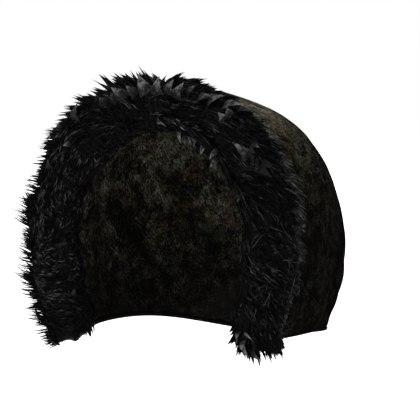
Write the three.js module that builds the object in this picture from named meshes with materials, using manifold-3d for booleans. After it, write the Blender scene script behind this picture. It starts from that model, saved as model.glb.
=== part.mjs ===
// A winter hood of printed cloth with a deep fur ruff round the face, as it stands when a head fills it.
// The cloth is three panels sewn over the head, a lining inside them and a bound neck hem.
// Units are millimetres. +Z is up, the face looks along -Y, and the wearer's left is +X.
// The origin is the inside of the crown, where the top of the head carries the hood.
import * as THREE from "three";
import { mergeVertices } from "three/addons/utils/BufferGeometryUtils.js";
import Module from "manifold-3d";

const wasm = await Module();
wasm.setup();

// The cloth is a fan of ribs, as in a pram hood, about the line through the hem's two front corners.
const CORNER_HALF_WIDTH = 90; // from the middle plane to each front corner
const FAN_AXIS_Y = -20; // where the fan's axis lies, in front of the ears
const FACE_ANGLE = 92; // degrees above the horizontal, leaning forward a little
const HEM_ANGLE_AT_CORNER = -1.6; // the hem falls from the corners towards the nape
const HEM_ANGLE_AT_NAPE = -7.4;
const NAPE_SHARPNESS = 4; // how closely the hem's dip keeps to the nape
const CHEEK_TURN = 0.4; // share of the widest height at which the sides turn in to the corners

// One row for each rib: its angle, how far it reaches from the axis, its half width,
// the share of the reach at which it is widest, and how square its shoulder is.
const RIBS = [
  { angle: -15, reach: 239, halfWidth: 99, widestAt: 0.36, shoulder: 0.66 },
  { angle: -4, reach: 250, halfWidth: 109, widestAt: 0.37, shoulder: 0.66 },
  { angle: 14, reach: 267, halfWidth: 128, widestAt: 0.4, shoulder: 0.66 },
  { angle: 34, reach: 277, halfWidth: 134, widestAt: 0.42, shoulder: 0.66 },
  { angle: 53, reach: 276, halfWidth: 132, widestAt: 0.43, shoulder: 0.65 },
  { angle: 72, reach: 257, halfWidth: 129, widestAt: 0.43, shoulder: 0.62 },
  { angle: 92, reach: 236, halfWidth: 123, widestAt: 0.43, shoulder: 0.6 },
];

// Layers of the wall, measured inwards from the outer face.
const PANEL_THICKNESS = 2;
const LINING_THICKNESS = 1.6;
const LAYER_GAP = 0.4; // also the clearance of the binding and of the ruff's slot
const LINING_DEPTH = PANEL_THICKNESS + LAYER_GAP;
const WALL_THICKNESS = LINING_DEPTH + LINING_THICKNESS;

// The centre panel runs from forehead to nape between two seams.
const SEAM_AT = 0.14; // share of the half rib from the crown to the corner
const SEAM_GAP = 0.0005; // half the width of a seam, in the same share
const CLOTH_ROWS = 14; // from the face edge to the hem
const CROWN_COLUMNS = 4;
const SIDE_COLUMNS = 11;
const CLOTH_ENDS_AT = 0.985; // the cloth is cut off just short of the corner, inside the ruff
const SLOT_FORWARD = 0.002; // share of the cloth's length by which the ruff's slot clears its edge

// The binding is a narrow band folded over the hem of the panels and the lining.
const BINDING = { height: 4, thickness: 1.2, endsAt: 0.965, slotPerClearance: 0.003 };

// The ruff is a roll of pelt along the face edge, with the fur's locks standing on it.
// Round the roll, 0 degrees points away from the face opening, 90 forward and 180 into the opening.
const RUFF = {
  forwardAtCrown: 4, // from the face edge to the roll's centreline
  forwardAtEnds: 14,
  inwardAtCrown: 8,
  inwardAtEnds: -1,
  splayAtEnds: 6, // the ends stand out to the sides
  splaySharpness: 6, // how closely the splay keeps to the ends
  endsAt: 0.965, // share of the half rib at which the rounded ends begin
  endDome: 22, // length of each rounded end
  endFlat: 0.15, // radius left at the very end, as a share
  radius: 25,
  stations: 32,
  sides: 8,
  domeStations: 4,
};
const LOCKS = {
  rings: 27, // along the roll
  perRing: 7, // round it, clear of the slot where the cloth goes in
  firstAngle: -52,
  lastAngle: 232,
  baseRadius: 9,
  bendRadius: 5.4, // halfway up, where the lock bends
  flatness: 0.65, // thickness of a lock as a share of its width
  sunk: 5.5, // how deep the root sits in the roll
  length: 14,
  lengthVariation: 7,
  rise: 0.5, // share of the length by which a tip stands off the roll
  partingAngle: 125, // where round the roll the fur parts, to be combed out and in
  leanOut: 0.55, // share of the length by which a tip is combed away from the opening
  leanIn: -0.15,
  leanAlong: 0.6, // spread of the lean along the roll
  ringScatter: 0.4, // spread of the places round the roll, in steps
  bendShare: 0.6, // how much of the rise is done at the bend
  bendLean: 0.3, // and how much of the lean
};
const END_LOCKS = {
  count: 9, // on each end, in a spiral round it
  turn: 137.5, // degrees from one to the next
  firstTilt: 25, // from straight down
  tiltStep: 7,
  length: 11,
  lengthVariation: 4,
  droop: 0.4, // share of the length by which a tip hangs
};

const CROWN_SEAT_ANGLE = 80; // the rib under which the head's top sits

const degrees = THREE.MathUtils.degToRad;
const ribTable = new THREE.CubicInterpolant(
  RIBS.map((rib) => rib.angle),
  RIBS.flatMap((rib) => [rib.reach, rib.halfWidth, rib.widestAt, rib.shoulder]),
  4,
);

// Half a rib in its own plane: x is the distance from the middle plane, y from the fan's axis.
// It goes over the shoulder to the widest point, and then in to the corner.
function halfRib(angle) {
  const [reach, halfWidth, widestAt, shoulder] = ribTable.evaluate(angle);
  const widestY = reach * widestAt;
  const rise = reach - widestY;
  const point = (x, y) => new THREE.Vector2(x, y);
  const path = new THREE.CurvePath();
  path.add(
    new THREE.CubicBezierCurve(
      point(0, reach),
      point(halfWidth * shoulder, reach),
      point(halfWidth, widestY + rise * shoulder),
      point(halfWidth, widestY),
    ),
  );
  path.add(
    new THREE.QuadraticBezierCurve(
      point(halfWidth, widestY),
      point(halfWidth, widestY * CHEEK_TURN),
      point(CORNER_HALF_WIDTH, 0),
    ),
  );
  return path;
}

// Where a point of the outer face lies: across is -1 at one corner, 0 at the crown and 1 at the other,
// and down is 0 at the face edge and 1 at the hem.
function outerFace(across, down) {
  const nape = Math.cos((across * Math.PI) / 2) ** NAPE_SHARPNESS;
  const hemAngle = HEM_ANGLE_AT_CORNER + (HEM_ANGLE_AT_NAPE - HEM_ANGLE_AT_CORNER) * nape;
  const angle = FACE_ANGLE + (hemAngle - FACE_ANGLE) * down;
  const onRib = halfRib(angle).getPoint(Math.min(1, Math.abs(across)));
  return new THREE.Vector3(
    Math.sign(across) * onRib.x,
    FAN_AXIS_Y + onRib.y * Math.cos(degrees(angle)),
    onRib.y * Math.sin(degrees(angle)),
  );
}

// The outward normal. The ribs meet at the corners, so it is taken just short of them.
const STEP = 0.004;
function outwardNormal(across, down) {
  const a = THREE.MathUtils.clamp(across, -1 + 3 * STEP, 1 - 3 * STEP);
  const alongRib = outerFace(a + STEP, down).sub(outerFace(a - STEP, down));
  const alongCloth = outerFace(a, down + STEP).sub(outerFace(a, down - STEP));
  return alongRib.cross(alongCloth).normalize();
}

function clothPoint(across, down, depth) {
  return outerFace(across, down).addScaledVector(outwardNormal(across, down), -depth);
}

// Joins rings of equal length into one closed body. A ring is a closed section, and its end caps
// join point i to the point as far from the ring's other end, which suits thin and round sections.
// Both faces of a thin wall are split along the same diagonals, so that layers stay parallel.
function loft(rings) {
  const size = rings[0].length;
  const positions = rings.flat().flatMap((p) => [p.x, p.y, p.z]);
  const faces = [];
  for (let r = 0; r + 1 < rings.length; r++) {
    for (let i = 0; i < size; i++) {
      const a = r * size + i;
      const b = r * size + ((i + 1) % size);
      if (i < size / 2) faces.push([a, b, b + size], [a, b + size, a + size]);
      else faces.push([a, b, a + size], [b, b + size, a + size]);
    }
  }
  for (let i = 0; i + 1 < size / 2; i++) {
    const [a, b, c, d] = [i, i + 1, size - 2 - i, size - 1 - i];
    const last = (rings.length - 1) * size;
    faces.push([a, d, c], [a, c, b]);
    faces.push([last + a, last + b, last + c], [last + a, last + c, last + d]);
  }
  const open = new THREE.BufferGeometry();
  open.setAttribute("position", new THREE.Float32BufferAttribute(positions, 3));
  open.setIndex(faces.flat());
  const merged = mergeVertices(open, 1e-3);
  const index = Array.from(merged.index.array);
  const whole = [];
  for (let i = 0; i < index.length; i += 3) {
    const [a, b, c] = index.slice(i, i + 3);
    if (a !== b && b !== c && c !== a) whole.push(a, b, c);
  }
  merged.setIndex(whole);
  return merged;
}

// A closed geometry as a solid, turned the right way out if its faces point in.
function toSolid(geometry) {
  const made = new wasm.Manifold(
    new wasm.Mesh({
      numProp: 3,
      vertProperties: geometry.getAttribute("position").array,
      triVerts: new Uint32Array(geometry.index.array),
    }),
  );
  if (made.volume() > 0) return made;
  const index = geometry.index.array;
  const turned = new Uint32Array(index.length);
  for (let i = 0; i < index.length; i += 3) turned.set([index[i], index[i + 2], index[i + 1]], i);
  geometry.setIndex(new THREE.BufferAttribute(turned, 1));
  return toSolid(geometry);
}

function toGeometry(solid) {
  const mesh = solid.getMesh();
  const geometry = new THREE.BufferGeometry();
  geometry.setAttribute("position", new THREE.BufferAttribute(mesh.vertProperties, 3));
  geometry.setIndex(new THREE.BufferAttribute(mesh.triVerts, 1));
  return geometry;
}

const evenSteps = (from, to, count) =>
  Array.from({ length: count + 1 }, (_, i) => from + ((to - from) * i) / count);

// A piece of cloth between two depths, across the given columns, from the face edge to the hem.
function clothPiece(columns, outerDepth, innerDepth, downSteps = evenSteps(0, 1, CLOTH_ROWS)) {
  const rings = downSteps.map((down) => [
    ...columns.map((across) => clothPoint(across, down, outerDepth)),
    ...[...columns].reverse().map((across) => clothPoint(across, down, innerDepth)),
  ]);
  return toSolid(loft(rings));
}

const crownColumns = evenSteps(-SEAM_AT + SEAM_GAP, SEAM_AT - SEAM_GAP, CROWN_COLUMNS);
const leftColumns = evenSteps(SEAM_AT + SEAM_GAP, CLOTH_ENDS_AT, SIDE_COLUMNS);
const rightColumns = leftColumns.map((across) => -across).reverse();
const allColumns = [
  ...rightColumns.slice(0, -1),
  ...evenSteps(-SEAM_AT, SEAM_AT, CROWN_COLUMNS),
  ...leftColumns.slice(1),
];

// The band's section at one place on the hem: two legs and a fold. extra swells it for a clearance.
function bindingRing(across, extra) {
  const hemLength = outerFace(across, 1).distanceTo(outerFace(across, 1 - 1 / CLOTH_ROWS)) * CLOTH_ROWS;
  const top = 1 - (BINDING.height + extra) / hemLength;
  const fold = 1 + (LAYER_GAP + BINDING.thickness + extra) / hemLength;
  const inFold = 1 + LAYER_GAP / hemLength;
  const outside = -(LAYER_GAP + BINDING.thickness + extra);
  const inside = WALL_THICKNESS + LAYER_GAP + BINDING.thickness + extra;
  const outerPath = [
    [top, outside],
    [fold, outside],
    [fold, inside],
    [top, inside],
  ];
  const innerPath = [
    [top, WALL_THICKNESS + LAYER_GAP],
    [inFold, WALL_THICKNESS + LAYER_GAP],
    [inFold, -LAYER_GAP],
    [top, -LAYER_GAP],
  ];
  return [...outerPath, ...innerPath].map(([down, depth]) => clothPoint(across, down, depth));
}

function bindingSolid(extra = 0) {
  const ends = BINDING.endsAt + extra * BINDING.slotPerClearance;
  const columns = [-ends, ...allColumns.filter((across) => Math.abs(across) < BINDING.endsAt), ends];
  return toSolid(loft(columns.map((across) => bindingRing(across, extra))));
}

// The roll's centreline and the directions round it at a place along the face edge.
const faceForward = new THREE.Vector3(0, -Math.sin(degrees(FACE_ANGLE)), Math.cos(degrees(FACE_ANGLE)));
function rollFrame(across) {
  const share = Math.abs(across);
  const forward = THREE.MathUtils.lerp(RUFF.forwardAtCrown, RUFF.forwardAtEnds, share);
  const inward = THREE.MathUtils.lerp(RUFF.inwardAtCrown, RUFF.inwardAtEnds, share);
  const along = outerFace(across + STEP, 0).sub(outerFace(across - STEP, 0)).normalize();
  const outward = faceForward.clone().cross(along).normalize();
  const centre = clothPoint(across, 0, WALL_THICKNESS / 2)
    .addScaledVector(faceForward, forward)
    .addScaledVector(outward, -inward);
  centre.x += Math.sign(across) * RUFF.splayAtEnds * share ** RUFF.splaySharpness;
  return { centre, along, outward };
}

function directionRound(frame, angle) {
  const forward = faceForward.clone().multiplyScalar(Math.sin(degrees(angle)));
  return forward.addScaledVector(frame.outward, Math.cos(degrees(angle)));
}

function rollRing(across, radius, below) {
  const frame = rollFrame(across);
  frame.centre.z -= below;
  const angles = evenSteps(0, 360, RUFF.sides).slice(0, -1);
  return angles.map((angle) => frame.centre.clone().addScaledVector(directionRound(frame, angle), radius));
}

function rollSolid() {
  const endRing = (across) => (angle) => {
    const radius = Math.max(RUFF.endFlat, Math.cos(degrees(angle))) * RUFF.radius;
    return rollRing(across, radius, Math.sin(degrees(angle)) * RUFF.endDome);
  };
  const dome = evenSteps(90, 0, RUFF.domeStations).slice(0, -1);
  const stations = evenSteps(-RUFF.endsAt, RUFF.endsAt, RUFF.stations);
  return toSolid(
    loft([
      ...dome.map(endRing(-RUFF.endsAt)),
      ...stations.map((across) => rollRing(across, RUFF.radius, 0)),
      ...dome.map(endRing(RUFF.endsAt)).reverse(),
    ]),
  );
}

// A fixed scatter between 0 and 1, different for each seed.
function scatter(seed) {
  const value = Math.sin(seed * 12.9898) * 43758.5453;
  return value - Math.floor(value);
}

// One lock: a three-sided tuft that leaves the roll at root, bends as it is combed, and ends in a point.
// away points off the roll, wide along the lock's width, and lean is how the tip is combed, as a share.
function lockSolid({ root, away, wide, lean, length, turn }) {
  const thin = away.clone().cross(wide).normalize();
  const corners = [0, 120, 240].map((angle) => degrees(angle + turn));
  const triangle = (centre, radius) =>
    corners.map((angle) =>
      centre
        .clone()
        .addScaledVector(wide, Math.cos(angle) * radius)
        .addScaledVector(thin, Math.sin(angle) * radius * LOCKS.flatness),
    );
  const upTo = (rise, combed) =>
    root.clone().addScaledVector(away, rise).addScaledVector(lean, combed * length);
  const rise = length * LOCKS.rise;
  const points = [
    ...triangle(upTo(-LOCKS.sunk, 0), LOCKS.baseRadius),
    ...triangle(upTo(rise * LOCKS.bendShare, LOCKS.bendLean), LOCKS.bendRadius),
    upTo(rise, 1),
  ];
  const faces = [[0, 2, 1]];
  for (let i = 0; i < 3; i++) {
    const next = (i + 1) % 3;
    faces.push([i, next, 3 + next], [i, 3 + next, 3 + i], [3 + i, 3 + next, 6]);
  }
  const geometry = new THREE.BufferGeometry().setFromPoints(points);
  geometry.setIndex(faces.flat());
  return toSolid(geometry);
}

// The locks in staggered rings along the roll, combed away from the opening or into it.
function rollLocks() {
  const locks = [];
  for (let ring = 0; ring <= LOCKS.rings; ring++) {
    for (let k = 0; k < LOCKS.perRing; k++) {
      const seed = ring * LOCKS.perRing + k + 1;
      const along = THREE.MathUtils.clamp((ring + scatter(seed) - 0.5) / LOCKS.rings, 0, 1);
      const frame = rollFrame(THREE.MathUtils.lerp(-RUFF.endsAt, RUFF.endsAt, along));
      const place = k + 0.5 * (ring % 2) + LOCKS.ringScatter * scatter(seed + 500);
      const angle = THREE.MathUtils.lerp(LOCKS.firstAngle, LOCKS.lastAngle, place / LOCKS.perRing);
      const away = directionRound(frame, angle);
      const combed = angle < LOCKS.partingAngle ? LOCKS.leanOut : LOCKS.leanIn;
      const lean = frame.outward.clone().multiplyScalar(combed);
      lean.addScaledVector(frame.along, LOCKS.leanAlong * (scatter(seed + 900) - 0.5));
      locks.push(
        lockSolid({
          root: frame.centre.clone().addScaledVector(away, RUFF.radius),
          away,
          wide: frame.along,
          lean,
          length: LOCKS.length + LOCKS.lengthVariation * (scatter(seed + 300) - 0.5),
          turn: 360 * scatter(seed + 700),
        }),
      );
    }
  }
  return locks;
}

// The locks that hang from each rounded end of the roll.
function endLocks(side) {
  const frame = rollFrame(side * RUFF.endsAt);
  const down = new THREE.Vector3(0, 0, -1);
  return evenSteps(0, END_LOCKS.count - 1, END_LOCKS.count - 1).map((k) => {
    const tilt = degrees(END_LOCKS.firstTilt + END_LOCKS.tiltStep * k);
    const away = directionRound(frame, END_LOCKS.turn * k).multiplyScalar(Math.sin(tilt));
    away.addScaledVector(down, Math.cos(tilt)).normalize();
    return lockSolid({
      root: frame.centre.clone().addScaledVector(away, RUFF.radius),
      away,
      wide: faceForward.clone().cross(away).normalize(),
      lean: down.clone().multiplyScalar(END_LOCKS.droop),
      length: END_LOCKS.length + END_LOCKS.lengthVariation * (scatter(side * 40 + k + 60) - 0.5),
      turn: 90 * k,
    });
  });
}

// The slot takes the cloth and the binding with their clearance, so the ruff grips the edge.
function slotSolid() {
  const steps = evenSteps(-SLOT_FORWARD, 1, CLOTH_ROWS);
  const cloth = clothPiece([-1, ...allColumns, 1], -LAYER_GAP, WALL_THICKNESS + LAYER_GAP, steps);
  return wasm.Manifold.union([cloth, bindingSolid(LAYER_GAP)]);
}

// What the slot cuts loose from a lock is dropped, so the ruff stays one body.
function ruffSolid() {
  const whole = wasm.Manifold.union([rollSolid(), ...rollLocks(), ...endLocks(-1), ...endLocks(1)]);
  const bodies = whole.subtract(slotSolid()).decompose();
  return bodies.sort((a, b) => b.volume() - a.volume())[0];
}

const finishes = {
  printedCloth: new THREE.MeshStandardMaterial({ color: 0x2a251d, roughness: 0.85, metalness: 0 }),
  lining: new THREE.MeshStandardMaterial({ color: 0x262119, roughness: 0.88, metalness: 0 }),
  binding: new THREE.MeshStandardMaterial({ color: 0x12110f, roughness: 0.8, metalness: 0 }),
  fur: new THREE.MeshStandardMaterial({ color: 0x0d0d0e, roughness: 0.55, metalness: 0 }),
};

function piece(name, solid, material) {
  const mesh = new THREE.Mesh(toGeometry(solid), material);
  mesh.name = name;
  return mesh;
}

// The hood is modelled from the fan's axis, and its group puts the crown's inside at the origin.
const hood = new THREE.Group();
const crownSeat = outerFace(0, (FACE_ANGLE - CROWN_SEAT_ANGLE) / (FACE_ANGLE - HEM_ANGLE_AT_NAPE));
crownSeat.z -= WALL_THICKNESS;
hood.position.copy(crownSeat).negate();
hood.add(
  piece("centre_panel", clothPiece(crownColumns, 0, PANEL_THICKNESS), finishes.printedCloth),
  piece("left_panel", clothPiece(leftColumns, 0, PANEL_THICKNESS), finishes.printedCloth),
  piece("right_panel", clothPiece(rightColumns, 0, PANEL_THICKNESS), finishes.printedCloth),
  piece("lining", clothPiece(allColumns, LINING_DEPTH, WALL_THICKNESS), finishes.lining),
  piece("neck_binding", bindingSolid(), finishes.binding),
  piece("fur_ruff", ruffSolid(), finishes.fur),
);

const fur_lined_hood = new THREE.Group();
fur_lined_hood.add(hood);
export default fur_lined_hood;
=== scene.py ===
import logging
import math
from dataclasses import astuple, dataclass, field
from enum import Enum

import bpy
import numpy as np
from mathutils import Matrix, Vector

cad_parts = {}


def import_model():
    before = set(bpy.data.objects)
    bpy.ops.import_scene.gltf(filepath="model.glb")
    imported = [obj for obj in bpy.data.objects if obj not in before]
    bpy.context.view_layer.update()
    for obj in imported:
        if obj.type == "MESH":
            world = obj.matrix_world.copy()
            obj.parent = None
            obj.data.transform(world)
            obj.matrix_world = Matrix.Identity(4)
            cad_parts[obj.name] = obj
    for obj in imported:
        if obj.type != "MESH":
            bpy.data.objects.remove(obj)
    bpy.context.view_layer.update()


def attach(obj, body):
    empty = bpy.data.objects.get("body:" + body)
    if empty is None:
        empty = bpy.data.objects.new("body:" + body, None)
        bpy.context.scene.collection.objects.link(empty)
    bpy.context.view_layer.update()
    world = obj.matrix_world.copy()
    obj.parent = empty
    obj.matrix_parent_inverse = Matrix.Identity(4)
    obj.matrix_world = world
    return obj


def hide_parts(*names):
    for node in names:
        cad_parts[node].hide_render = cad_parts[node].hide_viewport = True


log = logging.getLogger("hood")
Array = np.ndarray
Finish = bpy.types.Material
Piece = bpy.types.Object
Socket = bpy.types.NodeSocket
Colour = tuple[float, float, float]
Patches = tuple[tuple[Colour, float], ...]
Stops = tuple[tuple[float, Colour], ...]


class Side(Enum):
    """The panel's place over the head."""

    CENTRE = "centre_panel"
    LEFT = "left_panel"
    RIGHT = "right_panel"


def unit(vectors: Array) -> Array:
    """Scales vectors, whose numbers lie along the last axis, to length one."""
    return vectors / np.maximum(np.linalg.norm(vectors, axis=-1, keepdims=True), 1e-12)


def smooth(low: float, high: float, values: Array) -> Array:
    """Rises from 0 at low to 1 at high, with level ends, and reads that at each value."""
    share = np.clip((values - low) / (high - low), 0.0, 1.0)
    return share * share * (3.0 - 2.0 * share)


@dataclass(frozen=True)
class Ripple:
    """A smooth and repeatable unevenness, made of sine waves in scattered directions."""

    seed: int
    wavelength: float
    waves: int = 24

    def at(self, points: Array) -> Array:
        """Reads the unevenness.

        Args:
            points: places, as an array whose last axis is x, y, z.

        Returns:
            A value at each place, about -1 to 1.
        """
        draw = np.random.default_rng(self.seed)
        directions = unit(draw.normal(size=(self.waves, 3)))
        lengths = self.wavelength * draw.uniform(0.7, 1.6, self.waves)
        starts = draw.uniform(0.0, 2.0 * math.pi, self.waves)
        phases = points @ (directions / lengths[:, None]).T * 2.0 * math.pi + starts
        return np.sin(phases).sum(axis=-1) / math.sqrt(self.waves) * 0.8


@dataclass(frozen=True)
class Rib:
    """One rib of the hood's fan, in degrees, metres and shares."""

    angle: float
    reach: float
    half_width: float
    widest_at: float
    shoulder: float


@dataclass
class HoodForm:
    """The hood's outer face as a fan of ribs about the line through its two front corners."""

    ribs: tuple[Rib, ...] = (
        Rib(-15, 0.239, 0.099, 0.36, 0.66),
        Rib(-4, 0.250, 0.109, 0.37, 0.66),
        Rib(14, 0.267, 0.128, 0.40, 0.66),
        Rib(34, 0.277, 0.134, 0.42, 0.66),
        Rib(53, 0.276, 0.132, 0.43, 0.65),
        Rib(72, 0.257, 0.129, 0.43, 0.62),
        Rib(92, 0.236, 0.123, 0.43, 0.60),
    )
    corner_half_width: float = 0.090
    axis_y: float = -0.020
    face_angle: float = 92.0
    hem_angle_at_corner: float = -1.6
    hem_angle_at_nape: float = -7.4
    nape_sharpness: float = 4.0
    cheek_turn: float = 0.4
    crown_seat_angle: float = 80.0
    panel_thickness: float = 0.002
    layer_gap: float = 0.0004
    lining_thickness: float = 0.0016
    seam_at: float = 0.14
    cloth_ends_at: float = 0.985
    fold_depth: float = 0.0020
    fold_length: float = 0.10
    fine_fold: float = 0.42
    broad_share: float = 0.65
    slack_depth: float = 0.0014
    slack_waves: float = 52.0
    slack_wander: float = 2.2
    slack_down: tuple[float, float] = (0.50, 0.85)
    slack_across: tuple[float, float] = (0.80, 0.35)
    seam_dip: float = 0.0010
    seam_reach: float = 0.045
    face_hold: float = 0.16
    hem_hold: float = 0.07
    corner_hold: float = 0.15
    curve_steps: int = 201
    step: float = 0.004
    angle_step: float = 0.5
    arc_steps: int = 256
    seat: Array = field(init=False)
    table: Array = field(init=False)

    def __post_init__(self) -> None:
        """Tabulates the ribs and finds where the top of the head carries the hood."""
        self.table = self._tabulate()
        self.seat = np.zeros(3)
        nape = self.face_angle - self.hem_angle_at_nape
        down = (self.face_angle - self.crown_seat_angle) / nape
        self.seat = self.outer_face(np.zeros(1), np.array([down]))[0]
        self.seat[2] -= self.wall

    @property
    def wall(self) -> float:
        """The thickness of the whole wall."""
        return self.panel_thickness + self.layer_gap + self.lining_thickness

    def _rib_values(self, angles: Array) -> Array:
        """Reads the rib table between its rows, with slopes that run on from row to row.

        Args:
            angles: degrees above the horizontal.

        Returns:
            Reach, half width, widest place and shoulder in one row for each angle.
        """
        knots = np.array([rib.angle for rib in self.ribs])
        rows = np.array([(r.reach, r.half_width, r.widest_at, r.shoulder) for r in self.ribs])
        last = len(knots) - 1
        i = np.clip(np.searchsorted(knots, angles, side="right") - 1, 0, last - 1)
        before = np.where(i > 0, i - 1, i + 1)
        after = np.where(i < last - 1, np.minimum(i + 2, last), i)
        half = (knots[i + 1] - knots[i]) / 2.0
        wp = half / (knots[i] - knots[before])
        wn = half / (knots[after] - knots[i + 1])
        p = np.clip((angles - knots[i]) / (knots[i + 1] - knots[i]), 0.0, 1.0)
        sp = -wp * p**3 + 2 * wp * p**2 - wp * p
        s0 = (1 + wp) * p**3 + (-1.5 - 2 * wp) * p**2 + (-0.5 + wp) * p + 1
        s1 = (-1 - wn) * p**3 + (1.5 + wn) * p**2 + 0.5 * p
        sn = wn * p**3 - wn * p**2
        parts = ((sp, before), (s0, i), (s1, i + 1), (sn, after))
        return sum(share[:, None] * rows[index] for share, index in parts)

    def _tabulate(self) -> Array:
        """Lays out each rib's half outline in even steps along its length.

        Returns:
            For each angle and step, the distances from the middle plane and from the axis.
        """
        low, high = self.ribs[0].angle, self.ribs[-1].angle
        angles = np.arange(low, high + self.angle_step / 2, self.angle_step)
        t = np.linspace(0.0, 1.0, self.curve_steps)
        table = np.zeros((len(angles), self.arc_steps + 1, 2))
        for k, (reach, width, widest_at, shoulder) in enumerate(self._rib_values(angles)):
            widest = reach * widest_at
            top = np.array(((0, reach), (width * shoulder, reach)))
            side = np.array(((width, widest + (reach - widest) * shoulder), (width, widest)))
            a, b, c, d = (*top, *side)
            over = np.outer((1 - t) ** 3, a) + np.outer(3 * t * (1 - t) ** 2, b)
            over += np.outer(3 * t**2 * (1 - t), c) + np.outer(t**3, d)
            turn = np.array((width, widest * self.cheek_turn))
            corner = np.array((self.corner_half_width, 0.0))
            cheek = np.outer((1 - t) ** 2, d) + np.outer(2 * t * (1 - t), turn) + np.outer(t**2, corner)
            path = np.concatenate((over, cheek[1:]))
            run = np.concatenate(((0.0,), np.cumsum(np.linalg.norm(np.diff(path, axis=0), axis=1))))
            even = np.linspace(0.0, run[-1], self.arc_steps + 1)
            table[k, :, 0] = np.interp(even, run, path[:, 0])
            table[k, :, 1] = np.interp(even, run, path[:, 1])
        return table

    def outer_face(self, across: Array, down: Array) -> Array:
        """Places points of the outer face.

        Args:
            across: -1 at the right corner, 0 at the crown and 1 at the left corner.
            down: 0 at the face edge and 1 at the hem.

        Returns:
            The points, one row each.
        """
        nape = np.cos(across * math.pi / 2.0) ** self.nape_sharpness
        hem = self.hem_angle_at_corner + (self.hem_angle_at_nape - self.hem_angle_at_corner) * nape
        angle = self.face_angle + (hem - self.face_angle) * down
        row = np.clip((angle - self.ribs[0].angle) / self.angle_step, 0.0, len(self.table) - 1.001)
        column = np.minimum(np.abs(across), 1.0) * self.arc_steps
        column = np.minimum(column, self.arc_steps - 1e-6)
        i, j = row.astype(int), column.astype(int)
        u, v = (row - i)[..., None], (column - j)[..., None]
        near = self.table[i, j] * (1 - v) + self.table[i, j + 1] * v
        far = self.table[i + 1, j] * (1 - v) + self.table[i + 1, j + 1] * v
        on_rib = near * (1 - u) + far * u
        turn = np.radians(angle)
        x = np.sign(across) * on_rib[..., 0]
        y = self.axis_y + on_rib[..., 1] * np.cos(turn)
        z = on_rib[..., 1] * np.sin(turn)
        return np.stack((x, y, z), axis=-1) - self.seat

    def normal(self, across: Array, down: Array) -> Array:
        """Finds the outward directions, taken just short of the corners, where the ribs meet.

        Args:
            across: places along the ribs.
            down: places from the face edge to the hem.

        Returns:
            One outward direction for each place.
        """
        a = np.clip(across, -1 + 3 * self.step, 1 - 3 * self.step)
        along_rib = self.outer_face(a + self.step, down) - self.outer_face(a - self.step, down)
        along_cloth = self.outer_face(a, down + self.step) - self.outer_face(a, down - self.step)
        return unit(np.cross(along_rib, along_cloth))

    def freedom(self, across: Array, down: Array, face: float, hem: float) -> Array:
        """Rises from 0 on the cloth's edges to 1 at these shares of its length from face and hem."""
        ends = smooth(0.0, self.corner_hold, 1.0 - np.abs(across))
        return smooth(0.0, face, down) * smooth(0.0, hem, 1.0 - down) * ends

    def sag(self, across: Array, down: Array) -> Array:
        """Finds how far the whole wall sinks into soft folds, slack at the nape and a dip at each seam.

        Args:
            across: places along the ribs.
            down: places from the face edge to the hem.

        Returns:
            The depth at each place, 0 at the face edge and the hem.
        """
        points = self.outer_face(across, down)
        broad = Ripple(11, self.fold_length).at(points)
        fine = Ripple(12, self.fold_length * self.fine_fold).at(points)
        soft = broad * self.broad_share + fine * (1.0 - self.broad_share)
        folds = self.fold_depth * np.clip(0.5 - 0.5 * soft, 0.0, 1.0)
        nape = smooth(*self.slack_down, down) * smooth(*self.slack_across, np.abs(across))
        waves = np.sin(down * self.slack_waves + self.slack_wander * Ripple(13, 0.12).at(points))
        slack = self.slack_depth * nape * (0.5 + 0.5 * waves)
        dip = self.seam_dip * np.exp(-(((np.abs(across) - self.seam_at) / self.seam_reach) ** 2))
        return (folds + slack + dip) * self.freedom(across, down, self.face_hold, self.hem_hold)

    def point(self, across: Array, down: Array, depth: Array | float) -> Array:
        """Places points at a depth under the outer face, and sinks them with the wall's folds."""
        depths = np.asarray(depth, dtype=float) + self.sag(across, down)
        return self.outer_face(across, down) - self.normal(across, down) * depths[..., None]


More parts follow.
